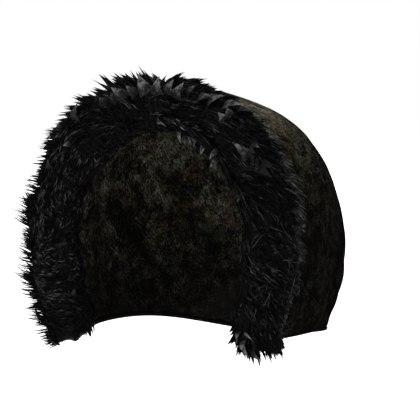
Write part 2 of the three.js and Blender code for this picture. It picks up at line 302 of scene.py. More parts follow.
@dataclass
class RollForm:
    """The ruff's roll: a line along the face edge, the directions round it and its girth."""

    hood: HoodForm
    forward_at_crown: float = 0.004
    forward_at_ends: float = 0.014
    inward_at_crown: float = 0.008
    inward_at_ends: float = -0.001
    splay_at_ends: float = 0.006
    splay_sharpness: float = 6.0
    right_end_at: float = -0.953
    left_end_at: float = 0.926
    end_dome: float = 0.022
    dome_steps: int = 25
    end_fullness: float = 3.2
    end_slants: tuple[float, float] = (0.004, 0.008)
    slant_reach: float = 0.030
    radius: float = 0.025
    stations: int = 600
    step: float = 0.0008
    pinches: tuple[tuple[float, float, float], ...] = (
        (0.182, 0.0032, 0.010),
        (0.249, 0.0034, 0.008),
        (0.272, 0.0030, 0.006),
        (-0.150, 0.0028, 0.034),
        (-0.200, 0.0016, 0.012),
        (-0.262, 0.0022, 0.010),
    )
    forward: Array = field(init=False)
    run: Array = field(init=False)
    line: Array = field(init=False)
    outward: Array = field(init=False)
    ends: tuple[float, float] = field(init=False)

    def __post_init__(self) -> None:
        """Lays the roll's line along the face edge and out to its two rounded ends."""
        turn = math.radians(self.hood.face_angle)
        self.forward = np.array((0.0, -math.sin(turn), math.cos(turn)))
        across = np.linspace(self.right_end_at, self.left_end_at, self.stations + 1)
        level = np.zeros_like(across)
        step = self.hood.step
        before = self.hood.outer_face(across - step, level)
        after = self.hood.outer_face(across + step, level)
        outward = unit(np.cross(self.forward, unit(after - before)))
        share = np.abs(across)
        forward = self.forward_at_crown + (self.forward_at_ends - self.forward_at_crown) * share
        inward = self.inward_at_crown + (self.inward_at_ends - self.inward_at_crown) * share
        line = self.hood.point(across, level, self.hood.wall / 2.0)
        line = line + self.forward * forward[:, None] - outward * inward[:, None]
        line[:, 0] += np.sign(across) * self.splay_at_ends * share**self.splay_sharpness
        run = np.concatenate(((0.0,), np.cumsum(np.linalg.norm(np.diff(line, axis=0), axis=1))))
        run -= np.interp(0.0, across, run)
        self.ends = (float(run[0]), float(run[-1]))
        drop = np.linspace(0.0, self.end_dome, self.dome_steps)[1:]
        hang = np.stack((0 * drop, 0 * drop, -drop), axis=-1)
        self.run = np.concatenate((run[0] - drop[::-1], run, run[-1] + drop))
        self.line = np.concatenate((line[0] + hang[::-1], line, line[-1] + hang))
        first = np.repeat(outward[:1], len(drop), axis=0)
        last = np.repeat(outward[-1:], len(drop), axis=0)
        self.outward = np.concatenate((first, outward, last))

    def _read(self, table: Array, s: Array) -> Array:
        """Reads a table of vectors at places along the roll, as one vector for each place."""
        return np.stack([np.interp(s, self.run, table[:, k]) for k in range(3)], axis=-1)

    def girth(self, s: Array) -> Array:
        """Finds the roll's radius.

        Args:
            s: places along the roll, 0 at the crown and positive towards the wearer's left.

        Returns:
            The radius at each place, with its pinches and its rounded ends.
        """
        past = np.clip(np.maximum(self.ends[0] - s, s - self.ends[1]) / self.end_dome, 0.0, 0.999)
        radius = self.radius * (1.0 - past**self.end_fullness) ** (1.0 / self.end_fullness)
        for place, depth, width in self.pinches:
            radius = radius - depth * np.exp(-(((s - place) / width) ** 2))
        return radius

    def spoke(self, s: Array, angle: Array) -> Array:
        """Points round the roll: 0 away from the face opening, 90 forward and 180 into it.

        Args:
            s: places along the roll.
            angle: degrees round it.

        Returns:
            One direction for each place.
        """
        outward = unit(self._read(self.outward, s))
        turn = np.radians(angle)[..., None]
        return self.forward * np.sin(turn) + outward * np.cos(turn)

    def normal(self, s: Array, angle: Array) -> Array:
        """Finds the directions straight off the roll's skin.

        Args:
            s: places along the roll.
            angle: degrees round it.

        Returns:
            One direction for each place.
        """
        gap = self.step
        s = np.clip(s, self.run[0] + 2 * gap, self.run[-1] - 2 * gap)
        slope = (self.girth(s + gap) - self.girth(s - gap)) / (2 * gap)
        travel = self._read(self.line, s + gap) - self._read(self.line, s - gap)
        return unit(self.spoke(s, angle) - unit(travel) * np.clip(slope, -6, 6)[..., None])

    def _hang(self, s: Array, angle: Array) -> Array:
        """Finds how much lower each end hangs on its inner side.

        Args:
            s: places along the roll.
            angle: degrees round it.

        Returns:
            The drops, below 0 on the outer side.
        """
        right = self.end_slants[0] * smooth(self.ends[0] + self.slant_reach, self.run[0], s)
        left = self.end_slants[1] * smooth(self.ends[1] - self.slant_reach, self.run[-1], s)
        return (right + left) * (0.2 - np.cos(np.radians(angle)))

    def skin(self, s: Array, angle: Array, height: Array | float, root: Array | None = None) -> Array:
        """Places points over the roll's skin. Past a rounded end they go on straight down.

        Args:
            s: places along the roll.
            angle: degrees round it.
            height: how far off the skin.
            root: where each lock starts, so that it hangs past a rounded end and doesn't follow it round.

        Returns:
            The points, one row each.
        """
        inside = np.clip(s, self.run[0], self.run[-1])
        held = inside
        if root is not None:
            held = np.clip(inside, np.minimum(root, self.ends[0]), np.maximum(root, self.ends[1]))
        heights = np.broadcast_to(np.asarray(height, dtype=float), s.shape)
        centre = self._read(self.line, inside)
        drop = np.abs(s - inside) + self._hang(s, angle)
        centre = centre + np.array((0.0, 0.0, -1.0)) * drop[..., None]
        place = centre + self.spoke(inside, angle) * self.girth(held)[..., None]
        return place + self.normal(held, angle) * heights[..., None]


def tube_faces(rings: int, sides: int) -> Array:
    """Joins rings of points into a tube, open at both ends.

    Args:
        rings: how many rings.
        sides: how many points in a ring.

    Returns:
        The faces, which have four corners.
    """
    grid = np.arange(rings * sides).reshape(rings, sides)
    after = np.roll(grid, -1, axis=1)
    return np.stack((grid[:-1], after[:-1], after[1:], grid[1:]), axis=-1).reshape(-1, 4)


def build_mesh(name: str, points: Array, faces: Array, attributes: dict[str, Array] | None = None) -> Piece:
    """Builds one mesh object with smooth shading.

    Args:
        name: the piece's name.
        points: its corners, one row each.
        faces: its faces, all with three or all with four corners.
        attributes: numbers for each corner, by name.

    Returns:
        The object, linked into the scene.
    """
    mesh = bpy.data.meshes.new(name)
    mesh.vertices.add(len(points))
    mesh.vertices.foreach_set("co", points.astype(np.float32).ravel())
    mesh.loops.add(faces.size)
    mesh.loops.foreach_set("vertex_index", faces.astype(np.int32).ravel())
    mesh.polygons.add(len(faces))
    mesh.polygons.foreach_set("loop_start", np.arange(0, faces.size, faces.shape[1], dtype=np.int32))
    mesh.polygons.foreach_set("use_smooth", np.ones(len(faces), dtype=bool))
    mesh.update(calc_edges=True)
    for label, values in (attributes or {}).items():
        layer = mesh.attributes.new(label, "FLOAT", "POINT")
        layer.data.foreach_set("value", values.astype(np.float32).ravel())
    mesh.validate()
    piece = bpy.data.objects.new(name, mesh)
    bpy.context.scene.collection.objects.link(piece)
    return piece


class Nodes:
    """Writes one material's nodes, with the shader's own constants set on its sockets."""

    def __init__(self, name: str) -> None:
        """Starts an empty material with one shader.

        Args:
            name: the material's name.
        """
        self.material = bpy.data.materials.new(name)
        self.material.use_nodes = True
        self.tree = self.material.node_tree
        self.shader = next(n for n in self.tree.nodes if n.type == "BSDF_PRINCIPLED")

    def add(
        self, kind: str, inputs: dict[str | int, object] | None = None, **options: object
    ) -> bpy.types.Node:
        """Adds a node.

        Args:
            kind: the node's type name.
            inputs: what feeds its inputs, by their names or numbers.
            options: its options by name.

        Returns:
            The node.
        """
        node = self.tree.nodes.new(kind)
        for name, value in options.items():
            setattr(node, name, value)
        for key, value in (inputs or {}).items():
            self.feed(node.inputs[key], value)
        return node

    def feed(self, socket: Socket, value: object) -> None:
        """Joins a socket to another one, or gives it a constant.

        Args:
            socket: the input to fill.
            value: an output socket, a number or a vector.
        """
        if isinstance(value, Socket):
            self.tree.links.new(value, socket)
        else:
            socket.default_value = value

    def place(self) -> Socket:
        """Gives the object's own coordinates, in metres."""
        return self.add("ShaderNodeTexCoord").outputs["Object"]

    def reading(self, label: str) -> Socket:
        """Gives the number that the mesh keeps under a name."""
        return self.add("ShaderNodeAttribute", attribute_name=label).outputs["Fac"]

    def stretch(self, vector: object, times: Colour, turn: Colour) -> Socket:
        """Makes what follows so many times longer along axes that are turned by these degrees."""
        inputs = {"Vector": vector, "Scale": times, "Rotation": [math.radians(t) for t in turn]}
        return self.add("ShaderNodeMapping", inputs, vector_type="TEXTURE").outputs["Vector"]

    def noise(
        self, vector: object, scale: float, detail: float, roughness: float = 0.55, distortion: float = 0.0
    ) -> Socket:
        """Gives a cloudy value.

        Args:
            vector: the coordinates.
            scale: how many clouds to a metre.
            detail: how many finer layers.
            roughness: how strong the finer layers are.
            distortion: how much it swirls.

        Returns:
            A value, mostly from 0.3 to 0.7.
        """
        inputs = {"Vector": vector, "Scale": scale, "Detail": detail}
        inputs |= {"Roughness": roughness, "Distortion": distortion}
        return self.add("ShaderNodeTexNoise", inputs).outputs["Fac"]

    def math(self, operation: str, a: object, b: object = 0.0, c: object = 0.0) -> Socket:
        """Works out a number from up to three others, by the operation's node name."""
        inputs = dict(enumerate((a, b, c)))
        return self.add("ShaderNodeMath", inputs, operation=operation).outputs["Value"]

    def product(self, a: object, b: object) -> Socket:
        """Multiplies two numbers."""
        return self.math("MULTIPLY", a, b)

    def plus(self, base: object, value: object, share: object) -> Socket:
        """Adds a share of a second number to the first."""
        return self.math("MULTIPLY_ADD", value, share, base)

    def span(self, value: object, low: float, high: float, start: float = 0.0, end: float = 1.0) -> Socket:
        """Turns low to high into start to end, with level ends and nothing past them."""
        inputs = {"Value": value, "From Min": low, "From Max": high, "To Min": start, "To Max": end}
        return self.add("ShaderNodeMapRange", inputs, interpolation_type="SMOOTHSTEP").outputs["Result"]

    def ramp(self, value: object, stops: Stops) -> Socket:
        """Turns a value into a colour.

        Args:
            value: the value.
            stops: places from 0 to 1 and their colours.

        Returns:
            The colour.
        """
        node = self.add("ShaderNodeValToRGB", {"Fac": value})
        elements = node.color_ramp.elements
        while len(elements) < len(stops):
            elements.new(0.5)
        for element, (place, colour) in zip(elements, stops):
            element.position = place
            element.color = (*colour, 1.0)
        return node.outputs["Color"]

    def mix(self, share: object, a: object, b: object, how: str = "MIX") -> Socket:
        """Mixes two colours.

        Args:
            share: how much of the second, from 0 to 1.
            a: the first colour.
            b: the second colour.
            how: the way they mix, by its node name.

        Returns:
            The mixed colour.
        """
        node = self.add("ShaderNodeMix", data_type="RGBA", blend_type=how, clamp_factor=True)
        sockets = [s for s in node.inputs if s.type == "RGBA"]
        self.feed(node.inputs[0], share)
        for socket, value in zip(sockets, (a, b)):
            self.feed(socket, (*value, 1.0) if isinstance(value, tuple) else value)
        return next(s for s in node.outputs if s.type == "RGBA")

    def scale(self, colour: object, by: object) -> Socket:
        """Multiplies a colour, to make it lighter or darker."""
        return self.vector("SCALE", colour, Scale=by).outputs["Vector"]

    def vector(self, operation: str, *values: object, **named: object) -> bpy.types.Node:
        """Adds a vector node, with its first inputs in order and the others by name."""
        return self.add("ShaderNodeVectorMath", {**dict(enumerate(values)), **named}, operation=operation)

    def fade(self, gap: object, reach: float, softness: float) -> Socket:
        """Fades from 1 to 0 with distance, over a last share of the reach."""
        return self.span(gap, reach * (1 - softness), reach, 1.0, 0.0)

    def near(self, point: Colour, reach: float, softness: float) -> Socket:
        """Gives a soft patch round a point, 1 in the middle and 0 outside."""
        return self.fade(self.vector("DISTANCE", self.place(), point).outputs["Value"], reach, softness)

    def along(self, start: Colour, end: Colour, reach: float, softness: float) -> Socket:
        """Gives a soft band along a straight stretch.

        Args:
            start: one end of the stretch.
            end: its other end.
            reach: how far from the stretch it has faded out.
            softness: the share of the reach over which it fades.

        Returns:
            1 on the stretch and 0 away from it.
        """
        way = Vector(end) - Vector(start)
        offset = self.vector("SUBTRACT", self.place(), start).outputs["Vector"]
        share = self.vector("DOT_PRODUCT", offset, way / way.length_squared).outputs["Value"]
        held = self.add("ShaderNodeClamp", {"Value": share}).outputs["Result"]
        gap = self.vector("DISTANCE", offset, self.scale(tuple(way), held)).outputs["Value"]
        return self.fade(gap, reach, softness)

    def bump(self, height: object, strength: float, depth: float) -> None:
        """Gives the shader a relief.

        Args:
            height: the relief's value, 0 to 1.
            strength: how much of it shows.
            depth: how deep 1 is, in metres.
        """
        node = self.add("ShaderNodeBump", {"Strength": strength, "Distance": depth, "Height": height})
        self.feed(self.shader.inputs["Normal"], node.outputs["Normal"])

    def surface(self, colour: object, roughness: object, **constants: float) -> None:
        """Gives the shader its colour, roughness and constants.

        Args:
            colour: a colour or a colour socket.
            roughness: a number or a socket.
            constants: other values by the shader's names, with underscores for spaces.
        """
        self.feed(self.shader.inputs["Base Color"], colour)
        self.feed(self.shader.inputs["Roughness"], roughness)
        for name, value in constants.items():
            self.shader.inputs[name.replace("_", " ")].default_value = value


@dataclass(frozen=True)
class BarkPrint:
    """Matt cloth printed all over with a mottle of bark, crumbled stone and lichen, with painted light and
    shade by height and a painted sheen in patches.
    """

    name: str
    # Painted light and shade: heights, and how much lighter or darker the print is painted there.
    painted_light_by_height: tuple[tuple[float, float], ...]
    grain_turn: Colour = (37, 0, 0)
    grain_length: float = 1.9
    furrow_turn: Colour = (37, 0, 0)
    fleck_spread: float = 0.50
    swirl: float = 0.012
    streak_length: float = 2.6
    furrow_length: float = 3.0
    vein_length: float = 6.0
    vein_width: float = 0.026
    deepest: Colour = (0.0013, 0.0013, 0.0012)
    flecks: tuple[Colour, ...] = (
        (0.0290, 0.0185, 0.0100),
        (0.0330, 0.0260, 0.0130),
        (0.0200, 0.0230, 0.0120),
        (0.0470, 0.0415, 0.0290),
        (0.0390, 0.0405, 0.0310),
        (0.0640, 0.0640, 0.0540),
    )
    ground: Stops = (
        (0.0, (0.0010, 0.0010, 0.0010)),
        (0.55, (0.0028, 0.0027, 0.0023)),
        (1.0, (0.0078, 0.0073, 0.0058)),
    )
    rust: Colour = (0.0350, 0.0215, 0.0105)
    moss: Colour = (0.0062, 0.0125, 0.0036)
    lichen: Colour = (0.0650, 0.0650, 0.0580)
    # Painted sheen: a smooth grey that stands in for a soft highlight on the cloth.
    painted_sheen: Colour = (0.0046, 0.0045, 0.0043)
    light_patches: Patches = ()
    dark_patches: Patches = ()
    rust_patches: Patches = ()
    moss_patches: Patches = ()
    painted_sheen_patches: Patches = ()
    cracks: tuple[tuple[Colour, Colour, float], ...] = ()
    wrong_side: float = 0.06
    sewn: bool = False
    stitch_away: float = 0.0045
    stitch_length: float = 0.0036
    thread: Colour = (0.0070, 0.0065, 0.0050)

    def _stitches(self, nodes: Nodes) -> Socket:
        """Marks a line of stitches beside each seam.

        Args:
            nodes: the material's nodes.

        Returns:
            1 on the thread and 0 elsewhere.
        """
        away = nodes.math("ABSOLUTE", nodes.math("SUBTRACT", nodes.reading("seam"), self.stitch_away))
        line = nodes.span(away, 0.0003, 0.0006, 1.0, 0.0)
        turn = nodes.product(nodes.reading("run"), 2.0 * math.pi / self.stitch_length)
        return nodes.product(line, nodes.span(nodes.math("SINE", turn), -0.5, -0.2))

    def _patches(self, nodes: Nodes, patches: Patches) -> object:
        """Joins soft patches into one value.

        Args:
            nodes: the material's nodes.
            patches: their middles and how far they reach.

        Returns:
            1 in the patches and 0 where there are none.
        """
        total: object = 0.0
        for point, reach in patches:
            total = nodes.math("MAXIMUM", total, nodes.near(point, reach, 0.8))
        return total

    def _painted_light_share(self, nodes: Nodes) -> Socket:
        """Reads the painted light and shade by height: the print is painted lighter high up, where the light
        falls from above, and darker lower down.

        Args:
            nodes: the material's nodes.

        Returns:
            What the colour is multiplied by.
        """
        height = nodes.add("ShaderNodeSeparateXYZ", {0: nodes.place()}).outputs["Z"]
        low, high = self.painted_light_by_height[0][0], self.painted_light_by_height[-1][0]
        most = max(share for _, share in self.painted_light_by_height)
        level = nodes.plus(-low / (high - low), height, 1.0 / (high - low))
        stops = tuple(((z - low) / (high - low), (share / most,) * 3) for z, share in self.painted_light_by_height)
        return nodes.product(nodes.ramp(level, stops), most)

    def _warped(self, nodes: Nodes, place: object) -> Socket:
        """Swirls the coordinates, so that no mark has a straight edge.

        Args:
            nodes: the material's nodes.
            place: the coordinates.

        Returns:
            The coordinates, moved by up to the swirl's size.
        """
        swirl = nodes.add("ShaderNodeTexNoise", {"Vector": place, "Scale": 40.0, "Detail": 3.0})
        reach = (self.swirl,) * 3
        return nodes.vector("MULTIPLY_ADD", swirl.outputs["Color"], reach, place).outputs["Vector"]

    def _fleck_colour(self, nodes: Nodes, grain_way: object, warped: object) -> Socket:
        """Colours the flecks, rustier or mossier in patches.

        Args:
            nodes: the material's nodes.
            grain_way: the coordinates, stretched along the grain.
            warped: the coordinates, swirled.

        Returns:
            The colour.
        """
        hue = nodes.product(nodes.noise(grain_way, 330.0, 2.0, 0.6), 0.55)
        hue = nodes.plus(hue, nodes.noise(warped, 75.0, 3.0, 0.6), 0.45)
        last = len(self.flecks) - 1
        stops = tuple((k / last, colour) for k, colour in enumerate(self.flecks))
        colour = nodes.ramp(nodes.span(hue, 0.40, 0.60), stops)
        rust = nodes.product(self._patches(nodes, self.rust_patches), 0.75)
        moss = nodes.product(self._patches(nodes, self.moss_patches), 0.85)
        return nodes.mix(moss, nodes.mix(rust, colour, self.rust), self.moss)

    def _lightness(self, nodes: Nodes, warped: object, shade: object, dim: object, fleck: object) -> Socket:
        """Darkens the print in furrows, veins, dark patches and cracks, and adds painted shade that grows
        darker lower down.

        Args:
            nodes: the material's nodes.
            warped: the coordinates, swirled.
            shade: the print's broad lightness.
            dim: 1 in the dark patches and 0 elsewhere.
            fleck: the fine noise that breaks up the cracks' edges.

        Returns:
            What the colour is multiplied by.
        """
        furrow_way = nodes.stretch(warped, (1.0, 1.0, self.furrow_length), self.furrow_turn)
        share = nodes.span(nodes.noise(furrow_way, 80.0, 2.0, 0.45), 0.36, 0.43, 0.55, 1.0)
        vein_way = nodes.stretch(warped, (1.0, 1.0, self.vein_length), self.furrow_turn)
        vein = nodes.math("SUBTRACT", nodes.noise(vein_way, 170.0, 2.0, 0.5), 0.5)
        off_vein = nodes.span(nodes.math("ABSOLUTE", vein), 0.0, self.vein_width, 0.40, 1.0)
        share = nodes.product(share, off_vein)
        share = nodes.product(share, nodes.span(shade, 0.40, 0.60, 0.70, 1.25))
        share = nodes.product(share, nodes.plus(1.0, dim, -0.45))
        for start, end, reach in self.cracks:
            edge = nodes.span(fleck, 0.35, 0.62, 1.0, 0.5)
            dark = nodes.product(nodes.along(start, end, reach, 0.75), edge)
            share = nodes.product(share, nodes.math("SUBTRACT", 1.0, dark))
        # Painted light and shade: lighter high on the hood, darker lower down.
        share = nodes.product(share, self._painted_light_share(nodes))
        if self.sewn:
            return share
        wrong_side = nodes.span(nodes.reading("wrong_side"), 0.0, 1.0, 1.0, self.wrong_side)
        return nodes.product(share, wrong_side)

    def make(self) -> Finish:
        """Writes the print.

        Returns:
            The material.
        """
        nodes = Nodes(self.name)
        place = nodes.place()
        warped = self._warped(nodes, place)
        grain_way = nodes.stretch(place, (1.0, 1.0, self.grain_length), self.grain_turn)
        mottle = nodes.noise(warped, 85.0, 4.0, 0.6)
        dim = self._patches(nodes, self.dark_patches)
        shade = nodes.product(nodes.noise(warped, 17.0, 3.0, 0.5), 0.3)
        shade = nodes.plus(shade, mottle, 0.7)
        shade = nodes.plus(shade, self._patches(nodes, self.light_patches), 0.09)
        shade = nodes.plus(shade, dim, -0.06)
        fleck = nodes.noise(grain_way, 640.0, 1.6, 0.8)
        level = nodes.plus(fleck, shade, self.fleck_spread)
        half = 0.5 * self.fleck_spread
        ground = nodes.ramp(nodes.span(mottle, 0.36, 0.62), self.ground)
        flecks = self._fleck_colour(nodes, grain_way, warped)
        colour = nodes.mix(nodes.span(level, half + 0.44, half + 0.62), ground, flecks)
        streak_way = nodes.stretch(place, (1.0, 1.0, self.streak_length), self.grain_turn)
        streak = nodes.noise(streak_way, 260.0, 4.0, 0.7, 0.6)
        lichen = nodes.product(nodes.span(streak, 0.56, 0.70), nodes.span(shade, 0.46, 0.58))
        colour = nodes.mix(nodes.product(lichen, 0.42), colour, self.lichen)
        colour = nodes.scale(colour, self._lightness(nodes, warped, shade, dim, fleck))
        # Painted sheen: smooth grey patches stand in for a soft highlight on the cloth.
        if self.painted_sheen_patches:
            sheen_share = nodes.product(self._patches(nodes, self.painted_sheen_patches), 0.60)
            colour = nodes.mix(sheen_share, colour, self.painted_sheen)
        colour = nodes.mix(1.0, colour, self.deepest, "ADD")
        inputs = {"Vector": place, "Scale": 260.0, "Distortion": 1.2}
        weave = nodes.add("ShaderNodeTexWave", inputs, bands_direction="DIAGONAL").outputs["Fac"]
        relief = nodes.plus(mottle, weave, 0.15)
        if self.sewn:
            thread = self._stitches(nodes)
            colour = nodes.mix(nodes.product(thread, 0.8), colour, self.thread)
            relief = nodes.plus(relief, thread, 0.5)
        nodes.surface(colour, nodes.span(mottle, 0.35, 0.65, 0.95, 0.85), Specular_IOR_Level=0.0)
        nodes.bump(relief, 0.3, 0.0010)
        return nodes.material


@dataclass(frozen=True)
class DarkTape:
    """A narrow cotton tape, nearly black, with a fine rib across it."""

    name: str = "hem_tape"

    def make(self) -> Finish:
        """Writes the tape.

        Returns:
            The material.
        """
        nodes = Nodes(self.name)
        place = nodes.place()
        cloud = nodes.noise(place, 180.0, 4.0, 0.6)
        colour = nodes.ramp(
            nodes.span(cloud, 0.3, 0.7),
            ((0.0, (0.0018, 0.0018, 0.0016)), (1.0, (0.0058, 0.0054, 0.0044))),
        )
        nodes.surface(colour, 0.9, Specular_IOR_Level=0.0)
        rib = nodes.add("ShaderNodeTexWave", {"Vector": place, "Scale": 420.0}, bands_direction="X")
        nodes.bump(rib.outputs["Fac"], 0.4, 0.0003)
        return nodes.material


@dataclass(frozen=True)
class BlackPile:
    """Glossy fur, black at the root and greyer along the lock, by the lock's own tone. The grey of the
    lighter locks is partly painted highlight, for glints along the wavy locks.
    """

    name: str
    dark: Colour = (0.0016, 0.0016, 0.0016)
    middle: Colour = (0.0056, 0.0057, 0.0057)
    light: Colour = (0.0480, 0.0485, 0.0485)
    roughness: float = 0.30
    gloss: float = 0.014

    def make(self) -> Finish:
        """Writes the fur.

        Returns:
            The material.
        """
        nodes = Nodes(self.name)
        place = nodes.place()
        cloud = nodes.noise(place, 240.0, 3.0, 0.6)
        tone = nodes.product(nodes.reading("tone"), nodes.span(cloud, 0.32, 0.66, 0.35, 1.3))
        colour = nodes.ramp(tone, ((0.0, self.dark), (0.35, self.middle), (1.0, self.light)))
        nodes.surface(
            colour,
            nodes.span(cloud, 0.3, 0.7, self.roughness - 0.08, self.roughness + 0.12),
            Specular_IOR_Level=self.gloss,
        )
        nodes.bump(nodes.noise(place, 900.0, 2.0, 0.6), 0.25, 0.0004)
        return nodes.material


@dataclass
class Cloth:
    """The hood's sewn wall: three outer panels, the lining in them and the tape round the hem."""

    form: HoodForm
    seam_gap: float = 0.0005
    panel_rows: int = 120
    centre_columns: int = 26
    side_columns: int = 72
    dent: float = 0.0004
    dent_length: float = 0.024
    edge_round: float = 0.0004
    edge_reach: float = 0.0016
    lining_inset: float = 0.0001
    lining_fold: float = 0.0022
    lining_holds: tuple[float, float] = (0.12, 0.1)
    edge_columns: tuple[float, float] = (0.002, 0.005)
    tape_height: float = 0.0024
    tape_thickness: float = 0.0005
    tape_ends_at: float = 0.965
    tape_columns: int = 221
    tape_turns: int = 9
    tape_belly: float = 1.05
    hem_parts: int = 14

    def _thin_wall(self, columns: Array, rows: Array, outer: Array, inner: Array) -> tuple[Array, Array]:
        """Closes a wall between two depths.

        Args:
            columns: places across.
            rows: places down.
            outer: the outer face's depth at each row and column.
            inner: the inner face's depth at each row and column.

        Returns:
            The points and the faces, which have four corners.
        """
        across, down = np.meshgrid(columns, rows)
        outside = self.form.point(across, down, outer).reshape(-1, 3)
        inside = self.form.point(across, down, inner).reshape(-1, 3)
        n, m = len(rows), len(columns)
        grid = np.arange(n * m).reshape(n, m)
        a, b, c, d = grid[:-1, :-1], grid[:-1, 1:], grid[1:, 1:], grid[1:, :-1]
        top = np.stack((a, b, c, d), axis=-1).reshape(-1, 4)
        faces = [top, top[:, ::-1] + n * m]
        edge = np.concatenate((grid[0, :-1], grid[:-1, -1], grid[-1, :0:-1], grid[:0:-1, 0]))
        after = np.roll(edge, -1)
        faces.append(np.stack((after, edge, edge + n * m, after + n * m), axis=-1))
        return np.concatenate((outside, inside)), np.concatenate(faces)

    def _soft_depths(self, away: Array, columns: Array, rows: Array) -> Array:
        """Works out how far the outer face sinks: shallow puckers, and a rounded edge at each seam.

        Args:
            away: each point's distance from the nearest seam.
            columns: places across.
            rows: places down.

        Returns:
            The depth at each row and column.
        """
        across, down = np.meshgrid(columns, rows)
        puckers = Ripple(21, self.dent_length).at(self.form.outer_face(across, down))
        depth = self.dent * np.clip(0.5 - 0.5 * puckers, 0.0, 1.0) * smooth(0.0, 0.1, down)
        return depth + self.edge_round * np.exp(-((away / self.edge_reach) ** 2))

    def _seam_places(self, columns: Array, rows: Array, seams: tuple[float, ...]) -> tuple[Array, Array]:
        """Measures the cloth from its seams.

        Args:
            columns: places across.
            rows: places down.
            seams: where the seams lie across.

        Returns:
            Each point's distance from the nearest seam and its place along it, in metres.
        """
        across, down = np.meshgrid(columns, rows)
        points = self.form.outer_face(across, down)
        width = np.linalg.norm(np.diff(points, axis=1), axis=-1).sum(axis=1) / (columns[-1] - columns[0])
        away = np.min([np.abs(across - seam) for seam in seams], axis=0) * width[:, None]
        steps = np.linalg.norm(np.diff(points, axis=0), axis=-1)
        run = np.concatenate((np.zeros((1, len(columns))), np.cumsum(steps, axis=0)))
        return away, run

    def panel(self, side: Side, finish: Finish) -> Piece:
        """Sews one outer panel.

        Args:
            side: which panel.
            finish: its cloth.

        Returns:
            The panel.
        """
        seam, gap = self.form.seam_at, self.seam_gap
        if side is Side.CENTRE:
            columns = np.linspace(-seam + gap, seam - gap, self.centre_columns + 1)
            seams = (-seam, seam)
        else:
            ease = np.linspace(0.0, 1.0, self.side_columns + 1)
            columns = seam + gap + (self.form.cloth_ends_at - seam - gap) * ease
            beside = [seam + gap + away for away in self.edge_columns]
            columns = np.sort(np.append(columns, beside))
            seams = (seam,)
            if side is Side.RIGHT:
                columns, seams = -columns[::-1], (-seam,)
        rows = np.linspace(0.0, 1.0, self.panel_rows + 1)
        away, run = self._seam_places(columns, rows, seams)
        outer = self._soft_depths(away, columns, rows)
        inner = np.full(outer.shape, self.form.panel_thickness)
        points, faces = self._thin_wall(columns, rows, outer, inner)
        marks = {"seam": np.tile(away.ravel(), 2), "run": np.tile(run.ravel(), 2)}
        piece = build_mesh(side.value + "_cloth", points, faces, marks)
        piece.data.materials.append(finish)
        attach(piece, "root")
        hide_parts(side.value)
        return piece

    def lining(self, finish: Finish) -> Piece:
        """Sews the lining.

        Args:
            finish: its cloth.

        Returns:
            The lining.
        """
        ends = self.form.cloth_ends_at
        columns = np.linspace(-ends, ends, 2 * self.side_columns + self.centre_columns + 1)
        rows = np.linspace(0.0, 1.0, self.panel_rows + 1)
        across, down = np.meshgrid(columns, rows)
        outer = np.full(across.shape, self.form.panel_thickness + self.form.layer_gap)
        points = self.form.outer_face(across, down)
        folds = Ripple(31, 0.06).at(points) * 0.6 + Ripple(32, 0.025).at(points) * 0.4
        free = self.form.freedom(across, down, *self.lining_holds)
        depth = self.lining_fold * smooth(-0.2, 1.2, folds) * free
        inner = self.form.wall - self.lining_inset + depth
        points, faces = self._thin_wall(columns, rows, outer, inner)
        wrong_side = np.repeat((1.0, 0.0), across.size)
        piece = build_mesh("lining_cloth", points, faces, {"wrong_side": wrong_side})
        piece.data.materials.append(finish)
        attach(piece, "root")
        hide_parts("lining")
        return piece

    def hem_tape(self, finish: Finish) -> Piece:
        """Folds the tape over the hem.

        Args:
            finish: its tape.

        Returns:
            The tape.
        """
        columns = np.linspace(-self.tape_ends_at, self.tape_ends_at, self.tape_columns)
        hem = np.ones_like(columns)
        above = hem * (self.hem_parts - 1) / self.hem_parts
        strip = self.form.outer_face(columns, hem) - self.form.outer_face(columns, above)
        length = np.linalg.norm(strip, axis=-1) * self.hem_parts
        gap, wall, thick = self.form.layer_gap, self.form.wall, self.tape_thickness
        top, fold = -self.tape_height, gap + thick
        middle, round_out = wall / 2.0, wall / 2.0 + gap + thick
        belly = thick * self.tape_belly
        turn = np.radians(np.linspace(-80, 80, self.tape_turns))
        path = [(top, -gap - thick), (top * 0.5, -gap - belly)]
        path += [(fold * 0.25 + fold * 0.75 * math.cos(t), middle + round_out * math.sin(t)) for t in turn]
        path += [(top * 0.5, wall + gap + belly), (top, wall + gap + thick)]
        path += [(top, wall + gap), (gap, wall + gap), (gap, -gap), (top, -gap)]
        rings = [self.form.point(columns, 1.0 + along / length, depth) for along, depth in path]
        points = np.stack(rings, axis=1)
        faces = tube_faces(*points.shape[:2])[:, [0, 3, 2, 1]]
        piece = build_mesh("hem_tape", points.reshape(-1, 3), faces)
        piece.data.materials.append(finish)
        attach(piece, "root")
        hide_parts("neck_binding")
        return piece


@dataclass(frozen=True)
class Comb:
    """Which way the fur is combed, how long it grows and how tangled it is, along the roll.

    Each stop holds a place, a way in degrees, where 0 runs along the roll to the wearer's left end
    and 90 runs round it into the opening, a share of the coat's length, and a share of its tangle.
    Each lean holds a place and the degrees that the way turns by on the roll's outer half.
    """

    stops: tuple[tuple[float, float, float, float], ...]
    leans: tuple[tuple[float, float], ...] = ((0.0, 0.0),)
    lean_from: float = 118.0
    lean_full: float = 82.0

    def at(self, s: Array, angle: Array) -> tuple[Array, Array, Array]:
        """Reads the comb.

        Args:
            s: places along the roll.
            angle: degrees round it.

        Returns:
            Ways in degrees, shares of the length and shares of the tangle.
        """
        places, ways, lengths, tangles = np.array(self.stops).T
        lean_places, leans = np.array(self.leans).T
        lean = np.interp(s, lean_places, leans) * smooth(self.lean_from, self.lean_full, angle)
        way = np.interp(s, places, ways) + lean
        return way, np.interp(s, places, lengths), np.interp(s, places, tangles)


